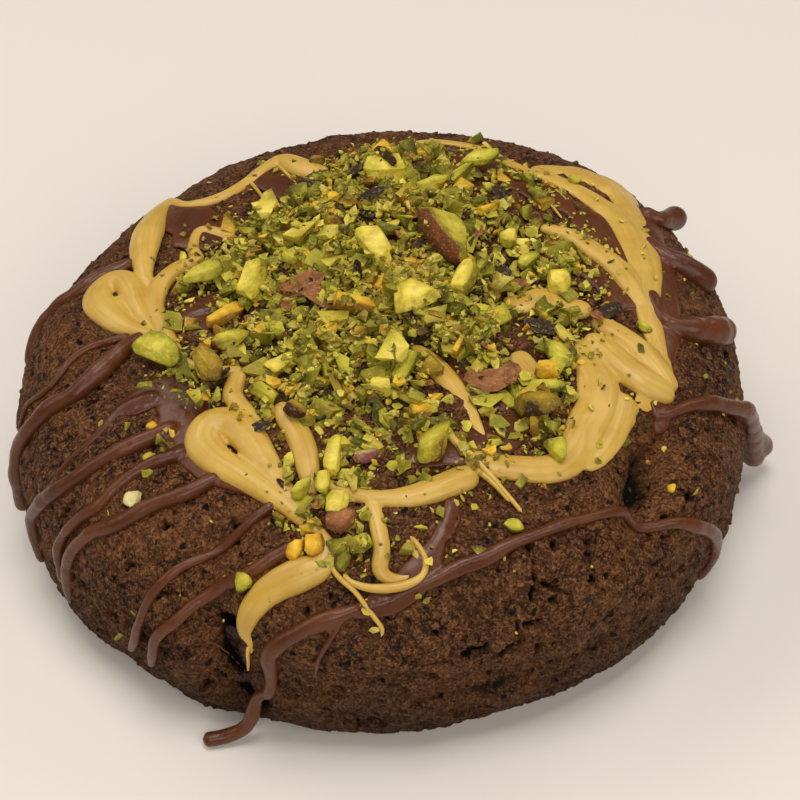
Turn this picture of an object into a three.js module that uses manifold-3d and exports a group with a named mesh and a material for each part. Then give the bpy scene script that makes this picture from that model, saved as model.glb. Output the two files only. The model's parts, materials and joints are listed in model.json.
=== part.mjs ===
// A thick baked chocolate cookie with milk chocolate drizzle, a looping ribbon of
// pistachio cream and a heap of chopped pistachios on its crown.
//
// Millimetres, +Z up, origin at the centre of the flat underside, +Y to the back.
// Everything on the cookie is placed in skin coordinates (u, v): u runs right and v
// runs back, both measured in millimetres along the crust from the top of the crown.

import * as THREE from 'three';
import { mergeVertices } from 'three/addons/utils/BufferGeometryUtils.js';
import Module from 'manifold-3d';

const wasm = await Module();
wasm.setup();

// ---------------------------------------------------------------- driving dimensions

const RADIUS = 60; // mean radius of the cookie at its widest ring
const CROWN = 37; // height of the bare crown
const BELLY = 10; // height of the widest ring
const FOOT = 0.9; // radius of the resting face, as a share of RADIUS
const SIDE_POWER = 4; // how square the shoulder is, seen from above its rim
const TOP_POWER = 3.2; // how flat the crown is
const OUTLINE = { cos2: -0.018, sin2: 0.029, cos3: -0.008, sin3: -0.01 };

const GAP = 0.3; // clearance between one food and the next
const CREAM_LIFT = 0.4; // underside of the cream above the crust
const HEAP_LIFT = 0.5; // underside of the nut heap above the crust
const HEAP_DEPTH = 3.2; // nut heap at its thickest, without its larger pieces
const CRUMB_RISE = 0.9; // height of the bumps in the nut heap
const CHUNKS = 33; // larger chunks fused to the nut heap

// Hollows in the crust: a route in skin coordinates, how far it reaches, how deep.
const HOLLOWS = [
  { route: [[44, -28], [41, -32], [40, -36], [39, -44]], reach: 4.2, depth: 2.6 },
  { route: [[-23.5, -48], [-26, -56], [-28, -64], [-27, -73]], reach: 4.2, depth: 3 },
  { route: [[-16, -69], [-4, -71], [10, -72], [30, -68]], reach: 2.6, depth: 0.9 },
];

// Lumps in the crust: a place in skin coordinates, how far it reaches, how high.
const LUMPS = [
  { at: [52, -34], reach: 9, height: 1.6 },
  { at: [31, -50], reach: 10, height: 1.2 },
  { at: [-36, -60], reach: 9, height: 1.2 },
  { at: [-8, -64], reach: 8, height: 1 },
  { at: [-52, -6], reach: 10, height: 0.8 },
];

// Milk chocolate strands: [u, v, width] along the crust.
const STRANDS = [
  { route: [[-39, 17, 2], [-43, 11, 2.6], [-49, 7, 2.6], [-55, 5.5, 2.6], [-61, 4, 2.3], [-65, 1, 1.8]] },
  { route: [[-41, -9, 1.3], [-48, -11.5, 1.3], [-52, -15.5, 1.1], [-58, -16, 1], [-62, -18, 1]] },
  { route: [[-36, -8, 2.4], [-40, -12, 2.8], [-46, -18.5, 2.8], [-54, -20.5, 2.8], [-64, -22, 2.8], [-74, -25, 2.6]] },
  { route: [[-34, -22, 1.8], [-40, -26, 1.5], [-46, -29.5, 1.3], [-52, -33, 1.2]] },
  { route: [[-30, -28.5, 2.4], [-39, -31, 2.5], [-46, -33, 2.4], [-57, -33.5, 2.3], [-64, -35, 2.2], [-68, -39, 1.8]] },
  { route: [[-27, -32, 2], [-35, -34.5, 1.9], [-42, -38.5, 1.9], [-50, -40, 1.8], [-57, -44.5, 1.6]] },
  { route: [[-21, -36, 2.3], [-27, -39, 2.3], [-37, -41.5, 2.3], [-47, -42.5, 2.2], [-56, -47, 1.9], [-60, -50, 1.4]] },
  { route: [[-15, -42, 1.5], [-22, -46.5, 1.5], [-29, -49.5, 1.6], [-36, -54.5, 1.6], [-41, -58, 1.5], [-46, -61, 1.3]] },
  { route: [[-12, -49, 1.9], [-21, -52.5, 2.1], [-28, -55.5, 2.1], [-37, -60, 1.8], [-42, -64, 1.4]] },
  { route: [[-2, -58, 1.2], [7, -54, 1.5], [20, -48, 1.8], [30, -44, 1.7], [38.5, -43, 1.7], [54, -39, 2.3],
    [64, -39, 2.2], [69, -41, 1.5]] },
];

// Strands that leave the crust: a laid stretch, then free points [x, y, z, width].
const FALLING = [
  { // runs down the front and lies on the table with a square end
    route: [[-4, -57.5, 2.4], [-10, -58.5, 3], [-15, -61, 3.2], [-19, -65, 2.6], [-20, -70, 2.2], [-22, -75, 2.2]],
    free: [[-19.5, -54.5, 2.6, 2.2], [-20.5, -56, 1.3, 2.3], [-23, -57.3, 1.2, 2.4], [-27, -58.5, 1.2, 2.4]],
  },
  { // leaves the right shoulder and stands on the table beside the cookie
    route: [[44, -23.5, 2], [51, -19.5, 2.4], [57, -16, 2.6]],
    free: [[59.2, -9.5, 22, 2.8], [61, -5.5, 13, 3.4], [62, -2.5, 5.5, 4], [62.3, -1.5, 0.7, 4.2]],
  },
  { // three fingers of chocolate that hang over the back right shoulder
    route: [[43.5, 28, 2.6], [47, 26, 3.4]],
    free: [[50.2, 30.5, 26.5, 3.8], [53, 35, 23, 4]],
  },
  {
    route: [[43.5, 16, 3], [49, 12, 3.6], [54, 10.5, 4]],
    free: [[56.8, 20, 22.5, 4.4], [59, 23.5, 20, 4.4]],
  },
  {
    route: [[45, -4, 3], [50, -3, 3.8], [56, -1, 4.2]],
    free: [[58.5, 6, 23, 4.4], [60.3, 9.5, 19.5, 4.4]],
  },
];

// Broad smears of chocolate that lie under the cream.
const SMEARS = [
  [[-31, -19, 5], [-28, -24, 7], [-28.5, -30, 7], [-22, -37, 4], [-12, -43, 2]],
  [[-38, -24, 3], [-33, -25.5, 5], [-29, -26, 5]],
  [[8, -44, 3], [5, -49.5, 5], [1.5, -56, 5], [-5, -58, 4]],
  [[42.5, 29, 3], [45.5, 17, 4], [45.8, 5, 4.2], [45.5, -8, 3.5]],
];

// Pistachio cream, one looping ribbon: [u, v, width] along the crust.
const CREAM = [
  [[-11, 31.5, 2.6], [-15.5, 36, 3.2], [-19, 40, 3], [-24.5, 33.5, 2.5], [-32, 28, 2.4], [-38, 30, 2.2], [-41, 34, 2]],
  [[-40.5, 34, 2], [-41.5, 25.5, 4.5], [-41.5, 16, 5.5], [-40.5, 9, 3.4], [-37, 2, 2.2]],
  [[-25.5, 15, 2.2], [-32, 17.5, 2.4], [-32.5, 9.5, 2.6], [-36.5, 3, 3.2], [-36, -3, 3], [-32, -11, 2], [-26.5, -17, 1.8],
    [-22, -19, 2.6], [-22, -23, 3], [-18, -30, 2.4]],
  [[-35, -9, 2], [-41, -7.2, 2.8], [-45.5, -2.6, 3.6], [-48, 3.6, 4]],
  [[-34, -8, 2], [-39, -1.5, 2.6], [-42.5, 4, 3.4], [-47, 6.5, 4]],
  [[-8, -48, 1.6], [-15, -41.7, 2.4], [-20, -37.4, 3.4], [-24.4, -34.6, 4], [-26.5, -31, 4.4]],
  [[-26, -31, 4.4], [-25, -28, 4.4], [-22, -28, 4], [-19, -31.2, 3.5], [-16.2, -35.8, 2.8], [-11.5, -44, 2]],
  [[-9, -46, 1.6], [-8.5, -51.5, 3.6], [-12.5, -53.5, 4.5], [-17.8, -55.8, 3.8], [-20.2, -58.5, 2.6], [-20.5, -62, 1.2]],
  [[-15, -25.5, 3], [-12, -31.5, 4], [-11, -38, 3], [-11, -44, 2]],
  [[-11, -38, 2.4], [-6, -41, 2.4], [-1, -42.2, 2.6], [5.5, -41.7, 3.6], [11, -39, 4], [16, -37.8, 4.8], [22.5, -38, 5]],
  [[-2.4, -42, 2.2], [-1, -46.8, 2.5], [-0.3, -51, 2.5], [-0.5, -53.6, 2]],
  [[-1, -53.2, 1.8], [2.2, -54, 1.6], [4.3, -52.6, 1.4], [3.6, -49.5, 1.2]],
  [[4.3, -15, 3.6], [7.7, -18.5, 3.7], [11, -23.8, 3], [13.2, -29.5, 2], [16, -36, 1.6]],
  [[22, -38, 4.6], [26, -36.6, 5.5], [29.4, -30, 6.2], [32, -24, 6.4], [31.8, -19, 6], [30.5, -14, 4.6], [31, -9, 3]],
  [[31, -9.5, 3], [35, -8.3, 3], [39, -12, 3.2], [43, -17, 3.2], [45, -20.5, 2.4]],
  [[32.5, -11, 2.4], [37.2, -17.6, 3], [41, -20.6, 3], [44.2, -21.2, 2.2]],
  [[1, 36.5, 1.6], [2.5, 41.5, 1.9], [9, 43.5, 2], [15, 41.5, 2.2], [21, 35, 2.6], [26, 33.2, 3.2], [33, 28, 4.2],
    [39, 22, 6], [41.5, 15, 6.4], [42.4, 7, 5.6], [42.5, -3, 4.4], [44, -12, 3], [44.5, -19, 2.4]],
  [[25, 34.5, 2.6], [30, 36, 4], [35.5, 36.5, 5.2], [40, 36, 4.4], [41, 31, 3.4], [38, 25, 3]],
  [[25, 17, 2.2], [30, 15.2, 3], [34.5, 11, 3.8], [38, 6.6, 4], [40.5, 1.5, 3.4]],
];

// Edge of the nut heap, in order round it.
const HEAP_CENTRE = [1, -3];
const HEAP_EDGE = [
  [34, 1], [33, 9], [27, 22], [22, 31], [10, 37], [-1, 37.5], [-12, 33], [-22, 26], [-28, 14], [-32, 1], [-31, -14],
  [-22, -27], [-15, -37], [-12, -47], [-4, -51], [2, -45], [12, -38], [22, -34], [29, -27], [31, -12],
];

// The largest pistachio pieces: where each lies in the heap, its size, the turn of its
// length from +u, its lean, how high its middle stands, and how it was cut.
const PIECES = [
  { at: [9, 10.5], size: [14, 7, 7], yaw: -58, lean: 14, lift: 4.6, cut: 'half' },
  { at: [-0.6, 27], size: [9.6, 6.6, 6.4], yaw: 4, lean: 0, lift: 3.9, cut: 'slab' },
  { at: [14.6, 32.2], size: [8, 3.8, 3.4], yaw: 22, lean: 8, lift: 3.2, cut: 'half' },
  { at: [6.8, 23], size: [7.6, 4.6, 3.8], yaw: 28, lean: 12, lift: 4.2, cut: 'wedge' },
  { at: [-1.8, 6.6], size: [8.6, 5.8, 4], yaw: -62, lean: -12, lift: 4.6, cut: 'slab' },
  { at: [-5, -7.2], size: [8.4, 4.8, 4.6], yaw: -12, lean: 0, lift: 4.6, cut: 'wedge' },
  { at: [4.6, -6.6], size: [9.4, 6.2, 5], yaw: 18, lean: -8, lift: 5, cut: 'slab' },
  { at: [-33.6, -14.8], size: [8, 5, 4.6], yaw: -32, lean: 0, lift: 3, cut: 'half' },
  { at: [-25.8, -18.6], size: [7.4, 5.8, 5], yaw: -34, lean: 10, lift: 3.4, cut: 'wedge' },
  { at: [22, -27.8], size: [8.4, 5.4, 5], yaw: 10, lean: 8, lift: 4, cut: 'wedge' },
  { at: [6.6, -35.4], size: [7.4, 4.6, 4.6], yaw: 42, lean: 10, lift: 3.6, cut: 'half' },
  { at: [-21.2, -1.4], size: [8, 4.6, 4], yaw: 78, lean: -8, lift: 4, cut: 'slab' },
  { at: [-29.6, 1.8], size: [7, 4, 3.4], yaw: 15, lean: 8, lift: 3.2, cut: 'half' },
  { at: [12, -1.4], size: [7, 4.4, 4.2], yaw: 74, lean: 10, lift: 4.4, cut: 'slab' },
];

// Planes that a knife left: a direction in the piece's own frame and how far out along
// it the plane lies, as a share of the kernel's reach in that direction.
const CUTS = {
  half: [[[0, 0.25, 1], 0.3], [[-1, 0.4, 0.2], 0.72]],
  slab: [[[0, 0.1, 1], 0.5], [[1, 0.25, 0], 0.66], [[-1, 0.3, 0.1], 0.7]],
  wedge: [[[0.2, 0.8, 1], 0.22], [[-1, 0, 0.4], 0.6], [[1, 0.5, -0.3], 0.7]],
};

// Single bits that landed on the bare crust: [u, v, size].
const STRAY_BITS = [
  [-35.5, -39, 2.8], [-33.4, -32.7, 2], [-33.2, -27.6, 2], [-19.6, -53.4, 3], [18, -46.5, 2.6], [7, -47, 2],
  [43, -36, 1.8], [14.8, 46.5, 2.8], [-3, 40.5, 3.6],
];

const COLOURS = {
  crust: 0x4b2f1e,
  cream: 0xcdaa5a,
  nuts: 0x93a336,
  kernel: 0xb9c255,
};

// ---------------------------------------------------------------- the crust

const radians = THREE.MathUtils.degToRad;

/** Radius of the widest ring in direction angle, with the cookie's slightly uneven outline. */
function outlineRadius(angle) {
  return RADIUS * (1 + OUTLINE.cos2 * Math.cos(2 * angle) + OUTLINE.sin2 * Math.sin(2 * angle)
    + OUTLINE.cos3 * Math.cos(3 * angle) + OUTLINE.sin3 * Math.sin(3 * angle));
}

/** The crust's half section as points { s, r, z }: s along the crust from the crown. */
function crustSection(steps = 360) {
  const section = [];
  for (let i = 0; i <= steps; i += 1) {
    const lift = (Math.PI / 2) * (1 - i / steps);
    section.push({
      r: Math.max(0, Math.cos(lift)) ** (2 / SIDE_POWER) * (i > 0),
      z: BELLY + (CROWN - BELLY) * Math.sin(lift) ** (2 / TOP_POWER),
    });
  }
  for (let i = 1; i <= steps / 4; i += 1) {
    const fall = (Math.PI / 2) * (i / (steps / 4));
    section.push({ r: FOOT + (1 - FOOT) * Math.cos(fall), z: BELLY * (1 - Math.sin(fall)) });
  }
  section[0].s = 0;
  for (let i = 1; i < section.length; i += 1) {
    const before = section[i - 1];
    section[i].s = before.s + Math.hypot((section[i].r - before.r) * RADIUS, section[i].z - before.z);
  }
  return section;
}

const SECTION = crustSection();
const SKIRT = SECTION.at(-1).s; // length of the crust from crown to foot

/** Distance from a skin point to a route through skin points. */
function distanceToRoute(u, v, route) {
  let nearest = Infinity;
  for (let i = 1; i < route.length; i += 1) {
    const [au, av] = route[i - 1];
    const [bu, bv] = route[i];
    const run = (bu - au) ** 2 + (bv - av) ** 2;
    const share = THREE.MathUtils.clamp(((u - au) * (bu - au) + (v - av) * (bv - av)) / run, 0, 1);
    nearest = Math.min(nearest, Math.hypot(u - au - share * (bu - au), v - av - share * (bv - av)));
  }
  return nearest;
}

/** How far the baked crust stands off its smooth form at a skin point. */
function relief(u, v) {
  const bell = (distance, reach) => Math.exp(-((distance / reach) ** 2));
  const down = HOLLOWS.map(({ route, reach, depth }) => -depth * bell(distanceToRoute(u, v, route), reach));
  const up = LUMPS.map(({ at, reach, height }) => height * bell(Math.hypot(u - at[0], v - at[1]), reach));
  const fade = THREE.MathUtils.smoothstep(SKIRT - Math.hypot(u, v), 0, 8);
  return fade * [...down, ...up].reduce((sum, value) => sum + value, 0);
}

/** A place on the crust, raised by lift: { point, up }. */
function onCrust(u, v, lift = 0) {
  const s = Math.min(Math.hypot(u, v), SKIRT);
  const angle = Math.atan2(v, u);
  const next = Math.max(1, SECTION.findIndex((station) => station.s >= s - 1e-9));
  const a = SECTION[next - 1];
  const b = SECTION[next];
  const share = (s - a.s) / (b.s - a.s);
  const radius = outlineRadius(angle) * THREE.MathUtils.lerp(a.r, b.r, share);
  const slope = s > 0 ? new THREE.Vector2((b.r - a.r) * RADIUS, b.z - a.z).normalize() : new THREE.Vector2(1, 0);
  const up = new THREE.Vector3(-slope.y * Math.cos(angle), -slope.y * Math.sin(angle), slope.x);
  const point = new THREE.Vector3(radius * Math.cos(angle), radius * Math.sin(angle),
    THREE.MathUtils.lerp(a.z, b.z, share));
  return { point: point.addScaledVector(up, relief(u, v) + lift), up };
}

// ---------------------------------------------------------------- solids

/** A closed geometry as a solid. */
function solid(geometry) {
  geometry.deleteAttribute('normal');
  geometry.deleteAttribute('uv');
  const welded = mergeVertices(geometry, 1e-5);
  return new wasm.Manifold(new wasm.Mesh({
    numProp: 3,
    vertProperties: new Float32Array(welded.attributes.position.array),
    triVerts: new Uint32Array(welded.index.array),
  }));
}

/** The geometry with each vertex moved to what move(vertex, index) returns. */
function reshaped(geometry, move) {
  const position = geometry.attributes.position;
  const vertex = new THREE.Vector3();
  for (let i = 0; i < position.count; i += 1) {
    const moved = move(vertex.fromBufferAttribute(position, i));
    position.setXYZ(i, moved.x, moved.y, moved.z);
  }
  return geometry;
}

const joined = (solids) => solids.reduce((whole, next) => whole.add(next));

/** The largest of the bodies that a cut left. */
function largestBody(body) {
  return body.decompose().reduce((best, next) => (next.volume() > best.volume() ? next : best));
}

/** The body as a named mesh of its own material. */
function asMesh(name, body, colour, roughness) {
  const { vertProperties, triVerts } = body.getMesh();
  const geometry = new THREE.BufferGeometry();
  geometry.setAttribute('position', new THREE.BufferAttribute(new Float32Array(vertProperties), 3));
  geometry.setIndex(new THREE.BufferAttribute(new Uint32Array(triVerts), 1));
  geometry.computeVertexNormals();
  const mesh = new THREE.Mesh(geometry, new THREE.MeshStandardMaterial({ color: colour, roughness, metalness: 0 }));
  mesh.name = name;
  return mesh;
}

/** The bare cookie: rings of the crust from crown to foot, closed by the flat underside. */
function crustBody(grow = 0, around = 60, rings = 20) {
  const globe = new THREE.SphereGeometry(1, around, rings + 1);
  return solid(reshaped(globe, ({ x, y, z }) => {
    const ring = Math.round((Math.acos(THREE.MathUtils.clamp(y, -1, 1)) / Math.PI) * (rings + 1));
    if (ring > rings) return new THREE.Vector3(0, 0, -grow);
    const s = SKIRT * (ring / rings);
    const angle = Math.atan2(-z, x);
    const { point } = onCrust(s * Math.cos(angle), s * Math.sin(angle), ring < rings ? grow : 0);
    if (ring === rings) point.set(point.x * (1 + grow / RADIUS), point.y * (1 + grow / RADIUS), -grow);
    return point;
  }));
}

/** Stations about step apart along a route of [u, v, width], each { point, up, width }. */
function laid(route, step) {
  const line = new THREE.CatmullRomCurve3(route.map((place) => new THREE.Vector3(...place)), false, 'centripetal');
  const count = Math.max(3, Math.round(line.getLength() / step));
  return line.getSpacedPoints(count).map(({ x, y, z }) => ({ ...onCrust(x, y), width: z }));
}

/** Stations through points that hang free, after the last laid station. */
function hanging(start, free, step) {
  const line = new THREE.CatmullRomCurve3(
    [start.point, ...free.map(([x, y, z]) => new THREE.Vector3(x, y, z))], false, 'centripetal');
  const widths = [start.width, ...free.map((place) => place[3])];
  const count = Math.max(free.length, Math.round(line.getLength() / step));
  return line.getSpacedPoints(count).slice(1).map((point, i) => {
    const place = ((i + 1) / count) * free.length;
    const low = Math.min(Math.floor(place), free.length - 1);
    const width = THREE.MathUtils.lerp(widths[low], widths[low + 1], place - low);
    const up = new THREE.Vector3(point.x, point.y, 0).normalize().add(new THREE.Vector3(0, 0, 0.4)).normalize();
    return { point, up, width };
  });
}

/** A strand of half-round section through stations, rise high and sink deep for each width. */
function strand(stations, { rise, sink, sides, grow = 0 }) {
  const last = stations.length - 1;
  const tube = new THREE.CylinderGeometry(1, 1, 1, sides, last, false, Math.PI / sides);
  return solid(reshaped(tube, ({ x, y, z }) => {
    const i = Math.round((0.5 - y) * last);
    const { point, up, width } = stations[i];
    const ahead = stations[Math.min(i + 1, last)].point.clone().sub(stations[Math.max(i - 1, 0)].point).normalize();
    const across = up.clone().cross(ahead).normalize();
    const outward = ahead.clone().cross(across);
    const end = i === 0 || i === last ? 0.6 : 1;
    const half = (width / 2) * end + grow;
    const height = z > 0 ? width * rise * end + grow : width * sink + grow;
    const reach = i === 0 ? -grow : (i === last) * grow;
    return point.clone().addScaledVector(across, x * half).addScaledVector(outward, z * height)
      .addScaledVector(ahead, reach);
  }));
}

/** A stray bit of nut, half sunk in the crust. */
function strayBit([u, v, size]) {
  const { point } = onCrust(u, v, size * 0.2);
  const bit = new THREE.IcosahedronGeometry(size / 2, 0);
  return solid(reshaped(bit, (vertex) => vertex.clone().multiply(new THREE.Vector3(1.1, 0.8, 0.7)).add(point)));
}

/** All the chocolate: strands, smears and falling drips, each grown by grow. */
function chocolate(grow = 0) {
  const round = { rise: 0.6, sink: 0.25, sides: 5, grow };
  const flat = { rise: 0.22, sink: 0.12, sides: 5, grow };
  return joined([
    ...STRANDS.map(({ route }) => strand(laid(route, 5.5), round)),
    ...FALLING.map(({ route, free }) => {
      const start = laid(route, 5.5);
      return strand([...start, ...hanging(start.at(-1), free, 3.5)], { ...round, rise: 0.45, sink: 0.45 });
    }),
    ...SMEARS.map((route) => strand(laid(route, 5.5), flat)),
  ]);
}

/** The cream ribbon, standing clear of the crust. */
function cream(grow = 0) {
  return joined(CREAM.map((route) => {
    const stations = laid(route, 4.4).map(({ point, up, width }) => ({
      point: point.addScaledVector(up, CREAM_LIFT),
      up,
      width,
    }));
    return strand(stations, { rise: 0.4, sink: 0.02, sides: 6, grow });
  }));
}

/** One cut piece of pistachio, as a solid grown by grow. */
function kernelPiece({ at, size, yaw, lean, lift, cut }, grow = 0) {
  const half = new THREE.Vector3(...size).multiplyScalar(0.5);
  const kernel = new THREE.SphereGeometry(1, 7, 4);
  const whole = solid(reshaped(kernel, (vertex) => vertex.clone().multiply(half.clone().addScalar(grow))));
  const far = size[0] * 2;
  const trimmed = CUTS[cut].reduce((body, [direction, share]) => {
    const outward = new THREE.Vector3(...direction).normalize();
    const reach = outward.clone().multiply(half).length() * share + grow;
    const block = new THREE.BoxGeometry(far, far, far);
    block.translate(far / 2 + reach, 0, 0);
    block.applyQuaternion(new THREE.Quaternion().setFromUnitVectors(new THREE.Vector3(1, 0, 0), outward));
    return body.subtract(solid(block));
  }, whole);
  const { point, up } = onCrust(...at, lift);
  const turn = new THREE.Quaternion().setFromUnitVectors(new THREE.Vector3(0, 0, 1), up)
    .multiply(new THREE.Quaternion().setFromEuler(new THREE.Euler(0, radians(-lean), radians(yaw), 'ZYX')));
  return trimmed.transform([...new THREE.Matrix4().compose(point, turn, new THREE.Vector3(1, 1, 1)).elements]);
}

/** A repeatable stream of numbers from 0 to 1. */
function seeded(seed) {
  let state = seed;
  return () => {
    state = (state * 1664525 + 1013904223) % 4294967296;
    return state / 4294967296;
  };
}

/** How far the heap reaches from its centre in direction angle. */
function heapReach(angle) {
  const direction = [Math.cos(angle), Math.sin(angle)];
  const reaches = HEAP_EDGE.map(([au, av], i) => {
    const [bu, bv] = HEAP_EDGE[(i + 1) % HEAP_EDGE.length];
    const [du, dv] = [bu - au, bv - av];
    const cross = direction[0] * dv - direction[1] * du;
    const out = ((au - HEAP_CENTRE[0]) * dv - (av - HEAP_CENTRE[1]) * du) / cross;
    const along = ((au - HEAP_CENTRE[0]) * direction[1] - (av - HEAP_CENTRE[1]) * direction[0]) / cross;
    return out > 0 && along >= 0 && along <= 1 ? out : 0;
  });
  return Math.max(...reaches);
}

/** The core of the heap: a low bumpy mound with the heap's uneven edge. */
function heapCore(around = 28, topRings = 7, underRings = 5) {
  const random = seeded(7);
  const bumps = new Map();
  const bump = (ring, angle) => {
    const key = `${ring},${Math.round(angle * 50)}`;
    if (!bumps.has(key)) bumps.set(key, random());
    return bumps.get(key);
  };
  const mound = new THREE.SphereGeometry(1, around, topRings + underRings);
  return solid(reshaped(mound, ({ x, y, z }) => {
    const total = topRings + underRings;
    const ring = Math.round((Math.acos(THREE.MathUtils.clamp(y, -1, 1)) / Math.PI) * total);
    const pole = ring === 0 || ring === total;
    const angle = pole ? 0 : (Math.atan2(-z, x) + 2 * Math.PI + 1e-6) % (2 * Math.PI);
    const share = ring <= topRings ? ring / topRings : ((total - ring) / underRings) ** 0.6;
    const out = heapReach(angle) * share;
    const thick = ring < topRings ? HEAP_DEPTH * Math.sqrt(1 - share ** 3) : 0;
    const rough = ring < topRings ? CRUMB_RISE * bump(ring, angle) * (share < 0.95) : 0;
    const edge = ring === topRings ? 0.5 : 0;
    const u = HEAP_CENTRE[0] + out * Math.cos(angle);
    const v = HEAP_CENTRE[1] + out * Math.sin(angle);
    return onCrust(u, v, HEAP_LIFT + thick + rough + edge).point;
  }));
}

/** Chunks scattered over the heap, clear of the largest pieces. */
function heapChunks() {
  const random = seeded(23);
  const chunks = [];
  const taken = PIECES.map(({ at, size }) => ({ u: at[0], v: at[1], reach: size[0] * 0.5 }));
  while (chunks.length < CHUNKS) {
    const angle = random() * 2 * Math.PI;
    const share = Math.sqrt(random()) * 0.95;
    const size = THREE.MathUtils.lerp(7, 3.6, random());
    const u = HEAP_CENTRE[0] + heapReach(angle) * share * Math.cos(angle);
    const v = HEAP_CENTRE[1] + heapReach(angle) * share * Math.sin(angle);
    if (taken.every((other) => Math.hypot(other.u - u, other.v - v) > other.reach + size * 0.4)) {
      taken.push({ u, v, reach: size * 0.4 });
      const { point } = onCrust(u, v, HEAP_LIFT + HEAP_DEPTH * Math.sqrt(1 - share ** 3) + size * 0.1);
      const turn = new THREE.Euler(random() * 6, random() * 6, random() * 6);
      const shape = new THREE.Vector3(size * 0.55, size * 0.38, size * 0.26);
      const chunk = new THREE.IcosahedronGeometry(1, 0);
      chunks.push(solid(reshaped(chunk, (vertex) => vertex.clone().multiply(shape).applyEuler(turn).add(point))));
    }
  }
  return chunks;
}

// ---------------------------------------------------------------- the assembled cookie

const cookie = joined([crustBody(), chocolate(), ...STRAY_BITS.map(strayBit)]);
const roomForChocolate = chocolate(GAP);
const ribbon = largestBody(cream().subtract(roomForChocolate));
const roomForRibbon = cream(GAP);

const pieces = [];
let roomForPieces = roomForChocolate.add(roomForRibbon);
for (const spec of PIECES) {
  pieces.push(largestBody(kernelPiece(spec).subtract(roomForPieces)));
  roomForPieces = roomForPieces.add(kernelPiece(spec, GAP));
}
const heap = largestBody(joined([heapCore(), ...heapChunks()]).subtract(roomForPieces));

const part = new THREE.Group();
part.name = 'pistachio_cookie';
part.add(asMesh('cookie', cookie, COLOURS.crust, 0.8));
part.add(asMesh('pistachio_cream', ribbon, COLOURS.cream, 0.4));
part.add(asMesh('chopped_pistachios', heap, COLOURS.nuts, 0.6));
pieces.forEach((piece, i) => {
  part.add(asMesh(`pistachio_piece_${String(i + 1).padStart(2, '0')}`, piece, COLOURS.kernel, 0.5));
});

export default part;
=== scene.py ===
"""Looks of a thick baked chocolate cookie with drizzle, pistachio cream and chopped pistachios.

Shapes are worked out in millimetres and handed to Blender in metres. Everything on the
cookie is placed in skin coordinates (u, v): u runs right and v runs back, both measured
along the crust from the top of the crown, and lift is the height above the crust.
"""
import json
import logging
import math
from dataclasses import dataclass, field, replace
from enum import Enum
from functools import cache, cached_property
from typing import Any, Callable, Mapping, Sequence

import bmesh
import bpy
import numpy as np
from mathutils import Euler, Matrix, Quaternion, Vector, kdtree

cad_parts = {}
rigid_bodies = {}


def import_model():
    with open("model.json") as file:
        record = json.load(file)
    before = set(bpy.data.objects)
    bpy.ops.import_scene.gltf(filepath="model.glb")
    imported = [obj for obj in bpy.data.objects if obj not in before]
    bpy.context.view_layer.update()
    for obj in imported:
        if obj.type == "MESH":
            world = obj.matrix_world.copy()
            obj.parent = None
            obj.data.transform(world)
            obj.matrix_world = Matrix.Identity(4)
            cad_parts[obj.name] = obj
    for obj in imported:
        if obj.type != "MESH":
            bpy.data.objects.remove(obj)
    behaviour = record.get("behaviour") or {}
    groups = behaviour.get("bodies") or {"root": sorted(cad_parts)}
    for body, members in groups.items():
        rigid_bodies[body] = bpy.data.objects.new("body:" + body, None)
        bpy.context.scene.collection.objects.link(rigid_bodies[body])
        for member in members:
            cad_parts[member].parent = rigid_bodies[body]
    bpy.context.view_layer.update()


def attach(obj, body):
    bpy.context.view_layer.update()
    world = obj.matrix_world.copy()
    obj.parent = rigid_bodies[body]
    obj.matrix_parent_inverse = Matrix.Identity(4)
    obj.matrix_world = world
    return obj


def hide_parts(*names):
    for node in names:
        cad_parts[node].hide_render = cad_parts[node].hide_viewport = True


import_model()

LOG = logging.getLogger("pistachio_cookie")
MM = 0.001  # metres in a millimetre
BODY = "root"
THIN_END = 0.0025  # square of the share of the width that is left at a rounded end
SKIN_FADE = 5.0  # length over which fine relief fades out at the foot

Route = Sequence[Sequence[float]]
Colour = tuple[int, int, int]
Faces = list[tuple[int, ...]]
Outline = Callable[[np.ndarray, np.ndarray], tuple[np.ndarray, np.ndarray]]


# ------------------------------------------------------------------ small tools


def linear(red: float, green: float, blue: float) -> tuple[float, float, float, float]:
    """Turn a colour as seen on screen, 0 to 255, into Blender's linear colour."""
    seen = np.array([red, green, blue]) / 255.0
    flat = np.where(seen <= 0.04045, seen / 12.92, ((seen + 0.055) / 1.055) ** 2.4)
    return (*flat.tolist(), 1.0)


def smooth_step(value: np.ndarray, low: float, high: float) -> np.ndarray:
    """Rise smoothly from 0 at low to 1 at high."""
    share = np.clip((value - low) / (high - low), 0.0, 1.0)
    return share * share * (3.0 - 2.0 * share)


def through(points: np.ndarray, step: float) -> np.ndarray:
    """Smooth line through rows of numbers.

    Args:
        points: Rows that the line passes through. The first columns are a place.
        step: Distance between the samples.

    Returns:
        Rows of samples about step apart.
    """
    rows = np.vstack([2 * points[0] - points[1], points, 2 * points[-1] - points[-2]])
    out = []
    for before, start, end, after in zip(rows, rows[1:], rows[2:], rows[3:]):
        count = max(2, int(np.linalg.norm(end - start) / step))
        t = np.linspace(0.0, 1.0, count, endpoint=False)[:, None]
        bend = 2 * before - 5 * start + 4 * end - after
        twist = 3 * start - before - 3 * end + after
        out.append(0.5 * (2 * start + (end - before) * t + bend * t**2 + twist * t**3))
    return np.vstack([*out, points[-1:]])


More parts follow.
